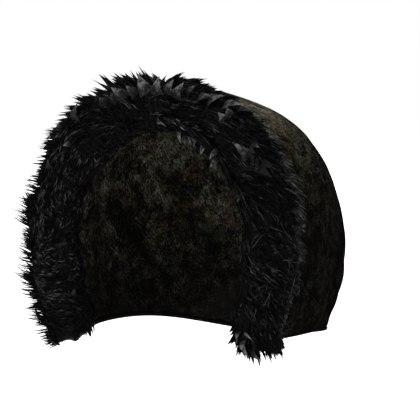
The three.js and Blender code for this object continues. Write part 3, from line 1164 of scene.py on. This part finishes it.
LYING = Comb(
    (
        (-0.310, -30.0, 1.0, 0.6), (-0.270, -48.0, 1.0, 0.7), (-0.225, -68.0, 1.0, 1.0),
        (-0.205, -110.0, 0.8, 2.2), (-0.175, -165.0, 0.8, 2.4), (-0.140, -188.0, 1.0, 1.0),
        (-0.080, -186.0, 1.0, 0.8), (-0.006, -180.0, 1.0, 0.8), (0.006, 6.0, 0.8, 0.8),
        (0.080, 4.0, 0.9, 0.8), (0.130, -14.0, 1.0, 1.0), (0.180, -42.0, 0.9, 1.6),
        (0.230, -72.0, 0.8, 2.4), (0.270, -40.0, 0.7, 1.2), (0.298, -30.0, 0.4, 0.8),
    ),
    leans=(
        (-0.085, 0.0), (-0.045, 50.0), (-0.006, 60.0), (0.006, 0.0), (0.040, -26.0), (0.125, -26.0),
        (0.170, 0.0),
    ),
)
STANDING = Comb(
    (
        (-0.310, -35.0, 0.60, 1.0), (-0.285, -40.0, 0.95, 1.0), (-0.240, -52.0, 1.15, 1.0),
        (-0.185, -68.0, 1.04, 1.0), (-0.160, -80.0, 1.10, 1.0), (-0.135, -116.0, 0.82, 1.0),
        (-0.110, -138.0, 0.80, 1.0), (-0.060, -150.0, 1.05, 1.0), (0.002, -146.0, 1.0, 1.0),
        (0.010, -44.0, 0.75, 1.0), (0.040, -24.0, 0.55, 1.0), (0.090, -28.0, 0.55, 1.0),
        (0.160, -28.0, 0.60, 1.0), (0.240, -45.0, 0.60, 1.0), (0.285, -25.0, 0.45, 1.0),
        (0.310, -10.0, 0.30, 1.0),
    ),
)
DOWNWARD = Comb(
    ((0.268, 8.0, 1.0, 1.0), (0.298, 8.0, 0.9, 1.0)),
    leans=((0.268, -44.0), (0.298, -40.0)),
)


@dataclass(frozen=True)
class Coat:
    """One layer of fur: how many clumps, where round the roll, and how the hairs lie."""

    name: str
    seed: int
    comb: Comb
    clumps: int
    hairs: int
    first_angle: float
    last_angle: float
    length: float
    width: float
    clump_size: float
    gather: float
    rise: float
    rise_spread: float
    comb_spread: float
    tone: float
    segments: int = 4
    length_spread: float = 0.25
    comb_turn: float = 0.0
    wave: float = 0.0
    wave_length: float = 0.02
    twist: float = 60.0
    lift: float = -0.002
    tone_spread: float = 0.9
    taper: float = 2.2
    inner_rise: float = 0.3
    first_place: float = -0.3055
    last_place: float = 0.2955
    solid: bool = False


@dataclass(frozen=True)
class Tuft:
    """One flat tuft: where it stands, which way it points, its size and how grey it is."""

    s: float
    angle: float
    way: float
    length: float
    width: float
    tone: float
    teeth: int = 1


# Tones are partly painted highlight: the flat tufts along the top are light grey where light falls on them,
# and partly grey in the fur itself.
GREY_TUFTS = (
    Tuft(-0.001, 56, -124, 0.018, 0.016, 1.1), Tuft(-0.012, 58, -138, 0.012, 0.012, 0.8),
    Tuft(-0.022, 64, -144, 0.018, 0.015, 0.8), Tuft(-0.042, 66, -120, 0.010, 0.012, 0.55),
    Tuft(-0.030, 70, -110, 0.009, 0.011, 0.5), Tuft(0.010, 60, -94, 0.015, 0.014, 0.95),
    Tuft(0.020, 58, -78, 0.014, 0.015, 0.8), Tuft(0.029, 64, -72, 0.018, 0.016, 1.0),
    Tuft(0.036, 50, -52, 0.013, 0.012, 0.7), Tuft(0.046, 46, -36, 0.015, 0.014, 0.8),
    Tuft(0.056, 44, -36, 0.018, 0.016, 0.95), Tuft(0.068, 32, -28, 0.017, 0.015, 0.95),
    Tuft(0.078, 18, -30, 0.015, 0.013, 0.5), Tuft(0.080, 50, -170, 0.012, 0.018, 0.95, teeth=2),
    Tuft(0.118, 62, 162, 0.022, 0.013, 0.75), Tuft(0.110, 50, -20, 0.010, 0.012, 0.6, teeth=2),
    Tuft(0.142, 112, 60, 0.014, 0.015, 0.5, teeth=4), Tuft(0.128, 50, -30, 0.014, 0.016, 0.25, teeth=2),
    Tuft(-0.079, 56, -40, 0.017, 0.018, 0.7), Tuft(-0.130, 78, -28, 0.013, 0.013, 0.4),
    Tuft(-0.095, 92, -150, 0.006, 0.007, 0.8), Tuft(0.036, 136, 72, 0.015, 0.0082, 1.3),
    Tuft(0.046, 140, 68, 0.012, 0.0076, 1.0), Tuft(0.055, 130, 70, 0.012, 0.0080, 1.0),
    Tuft(0.062, 124, 72, 0.014, 0.0080, 1.0), Tuft(0.075, 130, 84, 0.013, 0.0088, 1.2),
    Tuft(0.093, 114, 92, 0.012, 0.0066, 1.1), Tuft(0.100, 124, 96, 0.016, 0.0080, 1.0),
    Tuft(0.010, 116, 16, 0.010, 0.0036, 1.2), Tuft(0.012, 108, 18, 0.015, 0.0038, 1.2),
    Tuft(0.021, 102, 14, 0.011, 0.0030, 0.9), Tuft(0.028, 108, 16, 0.015, 0.0040, 1.2),
    Tuft(0.034, 102, 10, 0.010, 0.0028, 0.9), Tuft(0.038, 116, 14, 0.012, 0.0036, 1.1),
    Tuft(0.280, 106, 2, 0.012, 0.0065, 1.2), Tuft(0.287, 92, -34, 0.014, 0.0090, 1.2),
    Tuft(0.291, 70, -58, 0.015, 0.0085, 1.1), Tuft(0.278, 88, -64, 0.015, 0.0036, 1.3),
    Tuft(0.128, -8, -34, 0.018, 0.0120, 0.6, teeth=4),
    Tuft(0.142, -6, -34, 0.018, 0.0130, 0.7, teeth=4),
    Tuft(0.153, -10, -32, 0.016, 0.0110, 0.5, teeth=3),
    Tuft(0.166, -8, -34, 0.018, 0.0130, 0.6, teeth=4),
    Tuft(0.180, -10, -36, 0.015, 0.0110, 0.5, teeth=3), Tuft(-0.252, 30, -66, 0.018, 0.0085, 1.2),
    Tuft(-0.264, 30, -60, 0.022, 0.0095, 1.4), Tuft(-0.276, 32, -56, 0.018, 0.0080, 1.2),
    Tuft(-0.290, 34, -48, 0.016, 0.0080, 1.2), Tuft(-0.268, 138, 20, 0.013, 0.0090, 0.4, teeth=3),
    Tuft(-0.250, 142, 30, 0.012, 0.0080, 0.3, teeth=2),
)
SMOOTH_TUFTS = (
    Tuft(-0.042, 116, 30, 0.034, 0.012, 0.08, teeth=7),
    Tuft(-0.205, 128, 172, 0.022, 0.010, 0.14, teeth=6),
    Tuft(-0.228, 132, 168, 0.022, 0.010, 0.14, teeth=6),
    Tuft(0.200, 126, 2, 0.034, 0.008, 0.14, teeth=5), Tuft(0.235, 118, 8, 0.028, 0.010, 0.12, teeth=6),
    Tuft(0.262, 95, -12, 0.024, 0.012, 0.12, teeth=6),
)


@dataclass
class Ruff:
    """The fur ruff: a padded roll under layers of locks."""

    form: RollForm
    core_rings: int = 420
    core_sides: int = 110
    bulge: float = 0.0020
    bulge_length: float = 0.045
    lump_length: float = 0.016
    lump_share: float = 0.45
    inner_side: tuple[float, float, float, float] = (85.0, 150.0, 230.0, 285.0)
    inner_press: float = 0.0030
    swell: float = 0.0080
    swell_place: float = -0.082
    swell_reach: float = 0.045
    crease: float = 0.0009
    crease_rate: float = 900.0
    lying_radius: float = 0.027
    swirl_length: float = 0.05
    clump_scatter: float = 0.3
    clump_tones: float = 0.4
    hair_lengths: tuple[float, float] = (0.72, 1.08)
    hair_widths: tuple[float, float] = (0.6, 1.25)
    hair_scatter: float = 0.10
    soft_droop: float = 0.35
    stiff_droop: float = 0.10
    tuft_root: float = 0.0010
    tuft_lift: float = 0.0056
    inner_tuft_lift: float = 0.0034
    tuft_seed: int = 61
    tuft_fan: float = 24.0
    tuft_scatter: float = 4.0
    tuft_steps: int = 9
    tuft_rises: tuple[float, float] = (8.0, 55.0)
    tooth_lengths: tuple[float, float] = (0.75, 1.1)
    tooth_lift: float = 0.0002

    def _lumps(self, s: Array, angle: Array) -> Array:
        """Reads the roll's unevenness, as heights off its skin.

        Args:
            s: places along the roll.
            angle: degrees round it.

        Returns:
            The heights. The inner side is pressed in, but stands out high on the wearer's right.
        """
        points = self.form.skin(s, angle, 0.0)
        big = Ripple(41, self.bulge_length).at(points) * self.bulge
        small = Ripple(42, self.lump_length).at(points) * self.bulge * self.lump_share
        rise, full, fall, end = self.inner_side
        inner = smooth(rise, full, angle) * smooth(end, fall, angle)
        swell = self.swell * np.exp(-(((s - self.swell_place) / self.swell_reach) ** 2))
        return big + small + inner * (swell - self.inner_press)

    def _settle(self, piece: Piece, finish: Finish) -> Piece:
        """Gives a piece its fur and its place on the hood.

        Args:
            piece: the piece.
            finish: its fur.

        Returns:
            The same piece.
        """
        piece.data.materials.append(finish)
        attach(piece, "root")
        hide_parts("fur_ruff")
        return piece

    def core(self, finish: Finish) -> Piece:
        """Fills the roll under the fur.

        Args:
            finish: the pelt.

        Returns:
            The roll.
        """
        run = self.form.run
        s = np.linspace(run[0], run[-1], self.core_rings)
        angle = np.linspace(0.0, 360.0, self.core_sides, endpoint=False)
        along, turn = np.meshgrid(s, angle, indexing="ij")
        wander = Ripple(43, 0.03).at(self.form.skin(along, turn, 0.0))
        creases = np.sin(along * self.crease_rate + 3.0 * wander)
        height = self._lumps(along, turn) + self.crease * creases
        ends = smooth(0.0, 0.004, np.minimum(run[-1] - along, along - run[0]))
        points = self.form.skin(along, turn, height * ends)
        faces = tube_faces(*points.shape[:2])
        # Painted shade: the pelt's tone is darker down in the roll's creases and greyer on their crests.
        tone = 0.04 + 0.1 * smooth(0.4, 1.0, creases)
        piece = build_mesh("ruff_roll", points.reshape(-1, 3), faces, {"tone": tone})
        self._settle(piece, finish)
        return piece

    def _locks(
        self, name: str, points: Array, side: Array, width: Array, tones: Array, solid: bool = False
    ) -> Piece:
        """Builds locks that end in a point: flat ribbons, or solid wedges with three sides.

        Args:
            name: the piece's name.
            points: each lock's middle line, as locks by places.
            side: the direction of its width at each place.
            width: how far its corners lie from the middle line at each place.
            tones: how grey it is at each place.
            solid: whether it has three sides.

        Returns:
            The locks as one object.
        """
        n, k = points.shape[:2]
        spokes = [-side, side]
        pairs = [(0, 1)]
        if solid:
            across = unit(np.cross(unit(np.gradient(points, axis=1)), side))
            turns = [math.radians(turn) for turn in (90.0, 210.0, 330.0)]
            spokes = [side * math.cos(turn) + across * math.sin(turn) for turn in turns]
            pairs = [(0, 1), (1, 2), (2, 0)]
        m = len(spokes)
        tip = m * (k - 1)
        rings = [points[:, :-1] + spoke[:, :-1] * width[:, :-1, None] for spoke in spokes]
        corners = np.concatenate((np.stack(rings, axis=2).reshape(n, tip, 3), points[:, -1:]), axis=1)
        tone = np.concatenate((np.repeat(tones[:, :-1], m, axis=1), tones[:, -1:]), axis=1)
        strip = []
        for first in range(0, tip - m, m):
            for a, b in pairs:
                strip += [(first + a, first + b, first + b + m), (first + a, first + b + m, first + a + m)]
        strip += [(tip - m + a, tip - m + b, tip) for a, b in pairs]
        faces = np.array(strip) + (np.arange(n) * (tip + 1))[:, None, None]
        return build_mesh(name, corners.reshape(-1, 3), faces.reshape(-1, 3), {"tone": tone})

    def coat(self, coat: Coat, finish: Finish) -> Piece:
        """Grows one layer of locks.

        Args:
            coat: the layer.
            finish: its fur.

        Returns:
            The layer.
        """
        draw = np.random.default_rng(coat.seed)
        count, hairs = coat.clumps, coat.hairs
        s0 = draw.uniform(coat.first_place, coat.last_place, count)
        a0 = draw.uniform(coat.first_angle, coat.last_angle, count)
        swirl = Ripple(coat.seed + 1, self.swirl_length).at(self.form.skin(s0, a0, 0.0))
        combed, share, tangle = coat.comb.at(s0, a0)
        scatter = coat.comb_spread * tangle * (swirl + self.clump_scatter * draw.normal(size=count))
        way = np.radians(combed + coat.comb_turn + scatter)
        flat = smooth(95.0, 140.0, a0) * (1.0 - coat.inner_rise)
        rise = np.radians(coat.rise + coat.rise_spread * draw.normal(size=count)) * (1.0 - flat)
        length = coat.length * share * (1 + coat.length_spread * draw.uniform(-1, 1, count))
        tone = coat.tone * np.exp(coat.tone_spread * self.clump_tones * draw.normal(size=count))
        curl = coat.wave * np.clip(tangle / 1.6, 0.35, 1.2)
        phase = draw.uniform(0, 2 * math.pi, count)
        lumps = self._lumps(s0, a0)

        def each(values: Array) -> Array:
            """Repeats a clump's value for its hairs."""
            return np.repeat(values, hairs)[:, None]

        total = count * hairs
        spot = np.sqrt(draw.uniform(0, 1, total)) * coat.clump_size
        where = draw.uniform(0, 2 * math.pi, total)
        off_s, off_a = (spot * np.cos(where))[:, None], (spot * np.sin(where))[:, None]
        t = np.linspace(0.0, 1.0, coat.segments + 1)[None, :]
        run = each(length) * draw.uniform(*self.hair_lengths, total)[:, None] * t
        hair_way = each(way) + draw.normal(size=total)[:, None] * self.hair_scatter
        reach = run * np.cos(each(rise))
        sway = each(curl) * np.sin(2 * math.pi * run / coat.wave_length + each(phase)) * t**0.5
        keep = 1.0 - coat.gather * t**1.3
        s = each(s0) + off_s * keep + reach * np.cos(hair_way) - sway * np.sin(hair_way)
        round_roll = off_a * keep + reach * np.sin(hair_way) + sway * np.cos(hair_way)
        turn = each(a0) + np.degrees(round_roll / self.lying_radius)
        droop = self.stiff_droop if coat.solid else self.soft_droop
        height = each(lumps) + coat.lift * (1.0 - each(flat)) + run * np.sin(each(rise)) * (1.0 - droop * t)
        points = self.form.skin(s, turn, height, each(s0))
        travel = unit(np.gradient(points, axis=1))
        side = unit(np.cross(travel, self.form.normal(s, turn)))
        roll = (draw.normal(size=total) * math.radians(coat.twist))[:, None, None]
        side = side * np.cos(roll) + unit(np.cross(side, travel)) * np.sin(roll)
        profile = (1.0 - t**coat.taper) * (0.65 + 0.35 * np.sin(math.pi * np.minimum(t * 1.6, 1.0)))
        width = coat.width * draw.uniform(*self.hair_widths, total)[:, None] * profile / 2.0
        hair_tone = each(tone) * np.exp(coat.tone_spread * draw.normal(size=total))[:, None]
        tones = np.clip(hair_tone, 0, 1) * (0.35 + 0.65 * np.sin(math.pi * np.clip(t * 0.9 + 0.05, 0, 1)))
        return self._settle(self._locks(coat.name, points, side, width, tones, coat.solid), finish)

    def tufts(self, name: str, tufts: tuple[Tuft, ...], uneven: float, finish: Finish) -> Piece:
        """Lays flat tufts one by one.

        Args:
            name: the piece's name.
            tufts: the tufts.
            uneven: how much the tone differs from tooth to tooth.
            finish: their fur.

        Returns:
            The tufts as one object.
        """
        teeth = [(*astuple(tuft), k - (tuft.teeth - 1) / 2) for tuft in tufts for k in range(tuft.teeth)]
        s0, a0, pointing, long, full, tone, count, beside = np.array(teeth).T[:, :, None]
        t = np.linspace(0.0, 1.0, self.tuft_steps)[None, :]
        draw = np.random.default_rng(self.tuft_seed)
        fan = self.tuft_fan * beside / count + self.tuft_scatter * draw.normal(size=beside.shape)
        way = np.radians(pointing + fan)
        rise = np.radians(np.clip((a0 - 90.0) * np.sin(way), *self.tuft_rises))
        run = long * (1.0 - 0.5 * np.abs(beside) / count)
        run = run * draw.uniform(*self.tooth_lengths, beside.shape) * t
        spacing = full / (count + 1.0) * beside
        reach = run * np.cos(rise)
        s = s0 + reach * np.cos(way) - spacing * np.sin(way)
        turn = a0 + np.degrees((reach * np.sin(way) + spacing * np.cos(way)) / self.lying_radius)
        full_lift = self.tuft_lift + (self.inner_tuft_lift - self.tuft_lift) * smooth(95.0, 125.0, a0)
        lift = self._lumps(s0, a0) + self.tuft_root + (full_lift - self.tuft_root) * smooth(0.0, 0.25, t)
        height = lift + self.tooth_lift * beside + run * np.sin(rise) * (1.0 - 0.2 * t)
        points = self.form.skin(s, turn, height, s0)
        travel = unit(np.gradient(points, axis=1))
        side = unit(np.cross(travel, self.form.normal(s, turn)))
        width = full / (count + 1.0) * (1.0 - t)
        streaks = np.exp(uneven * draw.normal(size=beside.shape))
        tones = tone * (0.3 + 0.7 * t) * streaks
        return self._settle(self._locks(name, points, side, width, tones), finish)


@dataclass
class Studio:
    """The floor, the light and the camera."""

    look_at: Colour = (0.0, 0.03682, -0.14089)
    azimuth: float = 28.0
    elevation: float = 4.0
    distance: float = 1.3791
    right: float = 0.006
    up: float = 0.0198
    lens: float = 113.0
    floor_drop: float = 0.36
    floor_size: float = 60.0
    sun_strength: float = 3.0
    sun_spread: float = 14.0
    sun_way: Colour = (-0.12, 0.30, -1.0)

    def floor(self) -> None:
        """Lays a plain pale floor well under the held hood."""
        half = self.floor_size / 2
        low = self.look_at[2] - self.floor_drop
        corners = np.array([(x * half, y * half, low) for x, y in ((-1, -1), (1, -1), (1, 1), (-1, 1))])
        floor = build_mesh("floor", corners, np.array([(0, 1, 2, 3)]))
        nodes = Nodes("pale_floor")
        shade = nodes.noise(nodes.place(), 3.0, 2.0)
        pale = nodes.ramp(shade, ((0.0, (0.93, 0.93, 0.93)), (1.0, (0.95, 0.95, 0.95))))
        nodes.surface(pale, 0.9, Specular_IOR_Level=0.0)
        floor.data.materials.append(nodes.material)

    def light(self) -> None:
        """Hangs a soft light over a white surround."""
        world = bpy.data.worlds.new("white_surround")
        world.use_nodes = True
        back = next(n for n in world.node_tree.nodes if n.type == "BACKGROUND")
        back.inputs["Color"].default_value = (1.0, 1.0, 1.0, 1.0)
        back.inputs["Strength"].default_value = 1.0
        bpy.context.scene.world = world
        sun = bpy.data.lights.new("soft_key", "SUN")
        sun.energy = self.sun_strength
        sun.angle = math.radians(self.sun_spread)
        lamp = bpy.data.objects.new("soft_key", sun)
        lamp.rotation_mode = "QUATERNION"
        lamp.rotation_quaternion = Vector(self.sun_way).to_track_quat("-Z", "Y")
        bpy.context.scene.collection.objects.link(lamp)
        bpy.context.scene.view_settings.view_transform = "Standard"

    def camera(self) -> None:
        """Sets the camera at the picture's angle."""
        a, e = math.radians(self.azimuth), math.radians(self.elevation)
        back = Vector((math.sin(a) * math.cos(e), -math.cos(a) * math.cos(e), math.sin(e)))
        right = Vector((math.cos(a), math.sin(a), 0.0))
        up = back.cross(right)
        data = bpy.data.cameras.new("camera")
        data.lens = self.lens
        data.sensor_width = 36.0
        data.clip_start, data.clip_end = 0.05, 100.0
        camera = bpy.data.objects.new("camera", data)
        turn = Matrix((right, up, back)).transposed().to_4x4()
        place = Vector(self.look_at) + right * self.right + up * self.up + back * self.distance
        camera.matrix_world = Matrix.Translation(place) @ turn
        bpy.context.scene.collection.objects.link(camera)
        bpy.context.scene.camera = camera


SHELL_PRINT = BarkPrint(
    "printed_cloth",
    # Painted light and shade by height: the shell is painted much lighter at the crown, where the light
    # falls, and dark low on its sides.
    painted_light_by_height=(
        (-0.28, 0.13), (-0.15, 0.13), (-0.11, 0.18), (-0.085, 0.27), (-0.047, 0.54), (-0.022, 1.2),
        (0.0, 1.8),
    ),
    grain_turn=(-30, 135, 0),
    furrow_turn=(-30, 135, 0),
    grain_length=1.8,
    deepest=(0.0009, 0.0009, 0.0009),
    sewn=True,
    # Painted light: a lighter patch high on the wearer's left, where the light from above falls on the
    # shell.
    light_patches=(((0.08, 0.02, -0.02), 0.05),),
    rust_patches=(((0.092, 0.024, -0.040), 0.016),),
)
LINING_PRINT = BarkPrint(
    "lining_print",
    # Painted shade by height: the lining is painted darker towards the hem, deep inside the hood.
    painted_light_by_height=(
        (-0.28, 0.20), (-0.23, 0.25), (-0.20, 0.38), (-0.165, 0.76), (-0.13, 0.98), (-0.10, 1.06),
        (0.0, 1.1),
    ),
    grain_length=2.7,
    deepest=(0.0022, 0.0022, 0.0021),
    light_patches=(
        ((-0.100, 0.092, -0.062), 0.026), ((-0.089, 0.109, -0.055), 0.026),
        ((-0.106, 0.108, -0.088), 0.016), ((-0.082, 0.126, -0.061), 0.028),
        ((-0.060, 0.189, -0.128), 0.026), ((-0.050, 0.189, -0.117), 0.024),
        ((-0.041, 0.176, -0.087), 0.022), ((-0.068, 0.181, -0.118), 0.022),
        ((-0.052, 0.193, -0.140), 0.020),
    ),
    dark_patches=(
        ((-0.124, 0.090, -0.140), 0.030), ((-0.125, 0.104, -0.165), 0.030),
        ((-0.127, 0.056, -0.118), 0.026), ((-0.120, 0.010, -0.093), 0.026),
        ((-0.117, 0.045, -0.080), 0.018), ((-0.132, 0.020, -0.130), 0.030),
        ((-0.127, 0.020, -0.185), 0.034), ((-0.129, 0.055, -0.200), 0.030),
        ((-0.083, 0.158, -0.108), 0.020), ((-0.095, 0.143, -0.096), 0.016),
        ((-0.110, 0.130, -0.140), 0.018), ((-0.095, 0.154, -0.114), 0.016),
        ((-0.085, 0.173, -0.135), 0.014), ((-0.070, 0.182, -0.175), 0.026),
        ((0.100, 0.110, -0.170), 0.050),
    ),
    rust_patches=(
        ((-0.093, 0.163, -0.126), 0.018), ((-0.076, 0.156, -0.085), 0.024),
        ((-0.095, 0.143, -0.096), 0.018), ((-0.049, 0.190, -0.150), 0.018),
        ((-0.111, 0.142, -0.145), 0.012), ((-0.119, 0.031, -0.160), 0.026),
    ),
    moss_patches=(((-0.077, 0.184, -0.155), 0.018), ((-0.063, 0.193, -0.160), 0.012)),
    # Painted sheen at the lining's lower front corners, a stand-in for a soft highlight.
    painted_sheen_patches=(((-0.113, 0.052, -0.238), 0.024), ((-0.059, 0.191, -0.242), 0.026)),
    cracks=(
        ((-0.113, 0.068, -0.082), (-0.117, 0.118, -0.134), 0.0085),
        ((-0.126, 0.056, -0.124), (-0.124, 0.101, -0.156), 0.0210),
        ((-0.124, 0.101, -0.156), (-0.118, 0.124, -0.190), 0.0130),
        ((-0.063, 0.155, -0.073), (-0.057, 0.185, -0.116), 0.0040),
        ((-0.046, 0.191, -0.120), (-0.044, 0.202, -0.154), 0.0035),
        ((-0.090, 0.170, -0.138), (-0.088, 0.179, -0.180), 0.0040),
    ),
)
# The flat tufts' light grey is partly painted highlight, for light off the tufts that face up along the top,
# and partly grey in the fur itself.
GREY_PILE = BlackPile("grey_tufts", middle=(0.012, 0.012, 0.012), light=(0.090, 0.090, 0.090), roughness=0.6)
GLOSSY_PILE = BlackPile("smooth_tufts", gloss=0.008)
COATS = (
    Coat(
        "ruff_under_locks", 101, LYING, clumps=2300, hairs=7, segments=6, first_angle=-62,
        last_angle=242, length=0.022, width=0.0013, clump_size=0.0040, gather=0.6, rise=5,
        rise_spread=3, comb_spread=16, wave=0.0013, wave_length=0.0115, twist=50, lift=0.0003,
        tone=0.06,
    ),
    Coat(
        "ruff_curls", 151, LYING, clumps=2100, hairs=7, segments=6, first_angle=-60, last_angle=240,
        length=0.018, length_spread=0.3, width=0.0009, clump_size=0.0036, gather=0.55, rise=9,
        rise_spread=5, comb_spread=22, wave=0.0014, wave_length=0.0100, lift=0.0010, tone=0.12,
        tone_spread=1.35,
    ),
    # Painted glint: bright grey locks on the far strand stand in for highlights along the fur.
    Coat(
        "ruff_glint_locks", 171, LYING, clumps=460, hairs=4, segments=6, first_angle=10, last_angle=190,
        length=0.014, length_spread=0.3, width=0.0009, clump_size=0.0026, gather=0.5, rise=10,
        rise_spread=5, comb_spread=26, wave=0.0016, wave_length=0.0090, lift=0.0016, tone=0.62,
        tone_spread=1.0, first_place=-0.272, last_place=-0.085,
    ),
    Coat(
        "ruff_guard_locks", 201, STANDING, clumps=430, hairs=4, first_angle=-62, last_angle=46,
        length=0.0235, length_spread=0.22, width=0.0074, clump_size=0.0032, gather=0.15, rise=46,
        rise_spread=5, comb_spread=8, tone=0.02, taper=1.0, solid=True,
    ),
    Coat(
        "ruff_far_spikes", 211, STANDING, clumps=250, hairs=4, first_angle=-20, last_angle=66,
        length=0.030, length_spread=0.22, width=0.0022, clump_size=0.0030, gather=0.2, rise=62,
        rise_spread=5, comb_spread=8, tone=0.03, taper=1.0, first_place=-0.305, last_place=-0.10,
        solid=True,
    ),
    Coat(
        "ruff_edge_hairs", 221, STANDING, clumps=60, hairs=5, first_angle=-46, last_angle=2,
        length=0.036, width=0.0013, clump_size=0.0030, gather=0.2, rise=56, rise_spread=7,
        comb_spread=7, wave=0.0002, twist=40, lift=0.0, tone=0.65, tone_spread=0.5, taper=1.6,
        first_place=0.085, last_place=0.215,
    ),
    Coat(
        "ruff_inner_locks", 251, LYING, clumps=240, hairs=8, first_angle=140, last_angle=235,
        length=0.013, length_spread=0.3, width=0.0020, clump_size=0.0034, gather=0.93, rise=22,
        rise_spread=9, comb_turn=80, comb_spread=30, wave=0.0003, twist=30, lift=-0.001, tone=0.08,
        tone_spread=1.0, inner_rise=0.8, first_place=-0.28,
    ),
    Coat(
        "ruff_smooth_locks", 271, LYING, clumps=170, hairs=8, segments=6, first_angle=112,
        last_angle=165, length=0.034, width=0.0010, clump_size=0.0034, gather=0.5, rise=7,
        rise_spread=3, comb_turn=6, comb_spread=6, wave=0.0003, wave_length=0.03, twist=40, lift=0.003,
        tone=0.10, tone_spread=1.2, inner_rise=0.9, first_place=0.03, last_place=0.20,
    ),
    Coat(
        "ruff_end_locks", 301, LYING, clumps=150, hairs=8, segments=5, first_angle=130, last_angle=225,
        length=0.013, length_spread=0.2, width=0.0020, clump_size=0.0032, gather=0.7, rise=20,
        rise_spread=5, comb_turn=180, comb_spread=10, wave=0.0003, twist=30, lift=0.001, tone=0.05,
        taper=1.8, inner_rise=1.0, first_place=-0.304, last_place=-0.250,
    ),
    Coat(
        "ruff_end_spikes", 331, DOWNWARD, clumps=90, hairs=2, first_angle=-70, last_angle=200,
        length=0.0145, length_spread=0.2, width=0.0052, clump_size=0.0040, gather=0.1, rise=44,
        rise_spread=9, comb_spread=8, tone=0.02, taper=1.0, inner_rise=1.0, first_place=0.270,
        last_place=0.297, solid=True,
    ),
    Coat(
        "ruff_stray_hairs", 351, LYING, clumps=75, hairs=2, segments=5, first_angle=-20, last_angle=120,
        length=0.024, length_spread=0.4, width=0.0006, clump_size=0.0030, gather=0.2, rise=20,
        rise_spread=8, comb_spread=40, wave=0.0004, twist=40, lift=0.003, tone=0.55, tone_spread=0.4,
        first_place=0.17, last_place=0.30,
    ),
)


def main() -> None:
    """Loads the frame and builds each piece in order."""
    logging.basicConfig(level=logging.INFO, format="%(message)s")
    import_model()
    studio = Studio()
    studio.camera()
    studio.light()
    studio.floor()

    form = HoodForm()
    cloth = Cloth(form)
    shell, inside, tape_finish = SHELL_PRINT.make(), LINING_PRINT.make(), DarkTape().make()
    for side in Side:
        cloth.panel(side, shell)
    lining = cloth.lining(inside)
    log.info("%s sewn", lining.name)
    tape = cloth.hem_tape(tape_finish)
    log.info("%s folded", tape.name)

    ruff = Ruff(RollForm(form))
    piece = ruff.core(BlackPile("black_pelt").make())
    log.info("%s filled", piece.name)
    fur = BlackPile("black_fur").make()
    for coat in COATS:
        piece = ruff.coat(coat, fur)
        log.info("%s grown, %d faces", piece.name, len(piece.data.polygons))
    piece = ruff.tufts("ruff_grey_tufts", GREY_TUFTS, 0.15, GREY_PILE.make())
    log.info("%s laid", piece.name)
    piece = ruff.tufts("ruff_smooth_tufts", SMOOTH_TUFTS, 1.0, GLOSSY_PILE.make())
    log.info("%s laid", piece.name)


if __name__ == "__main__":
    main()
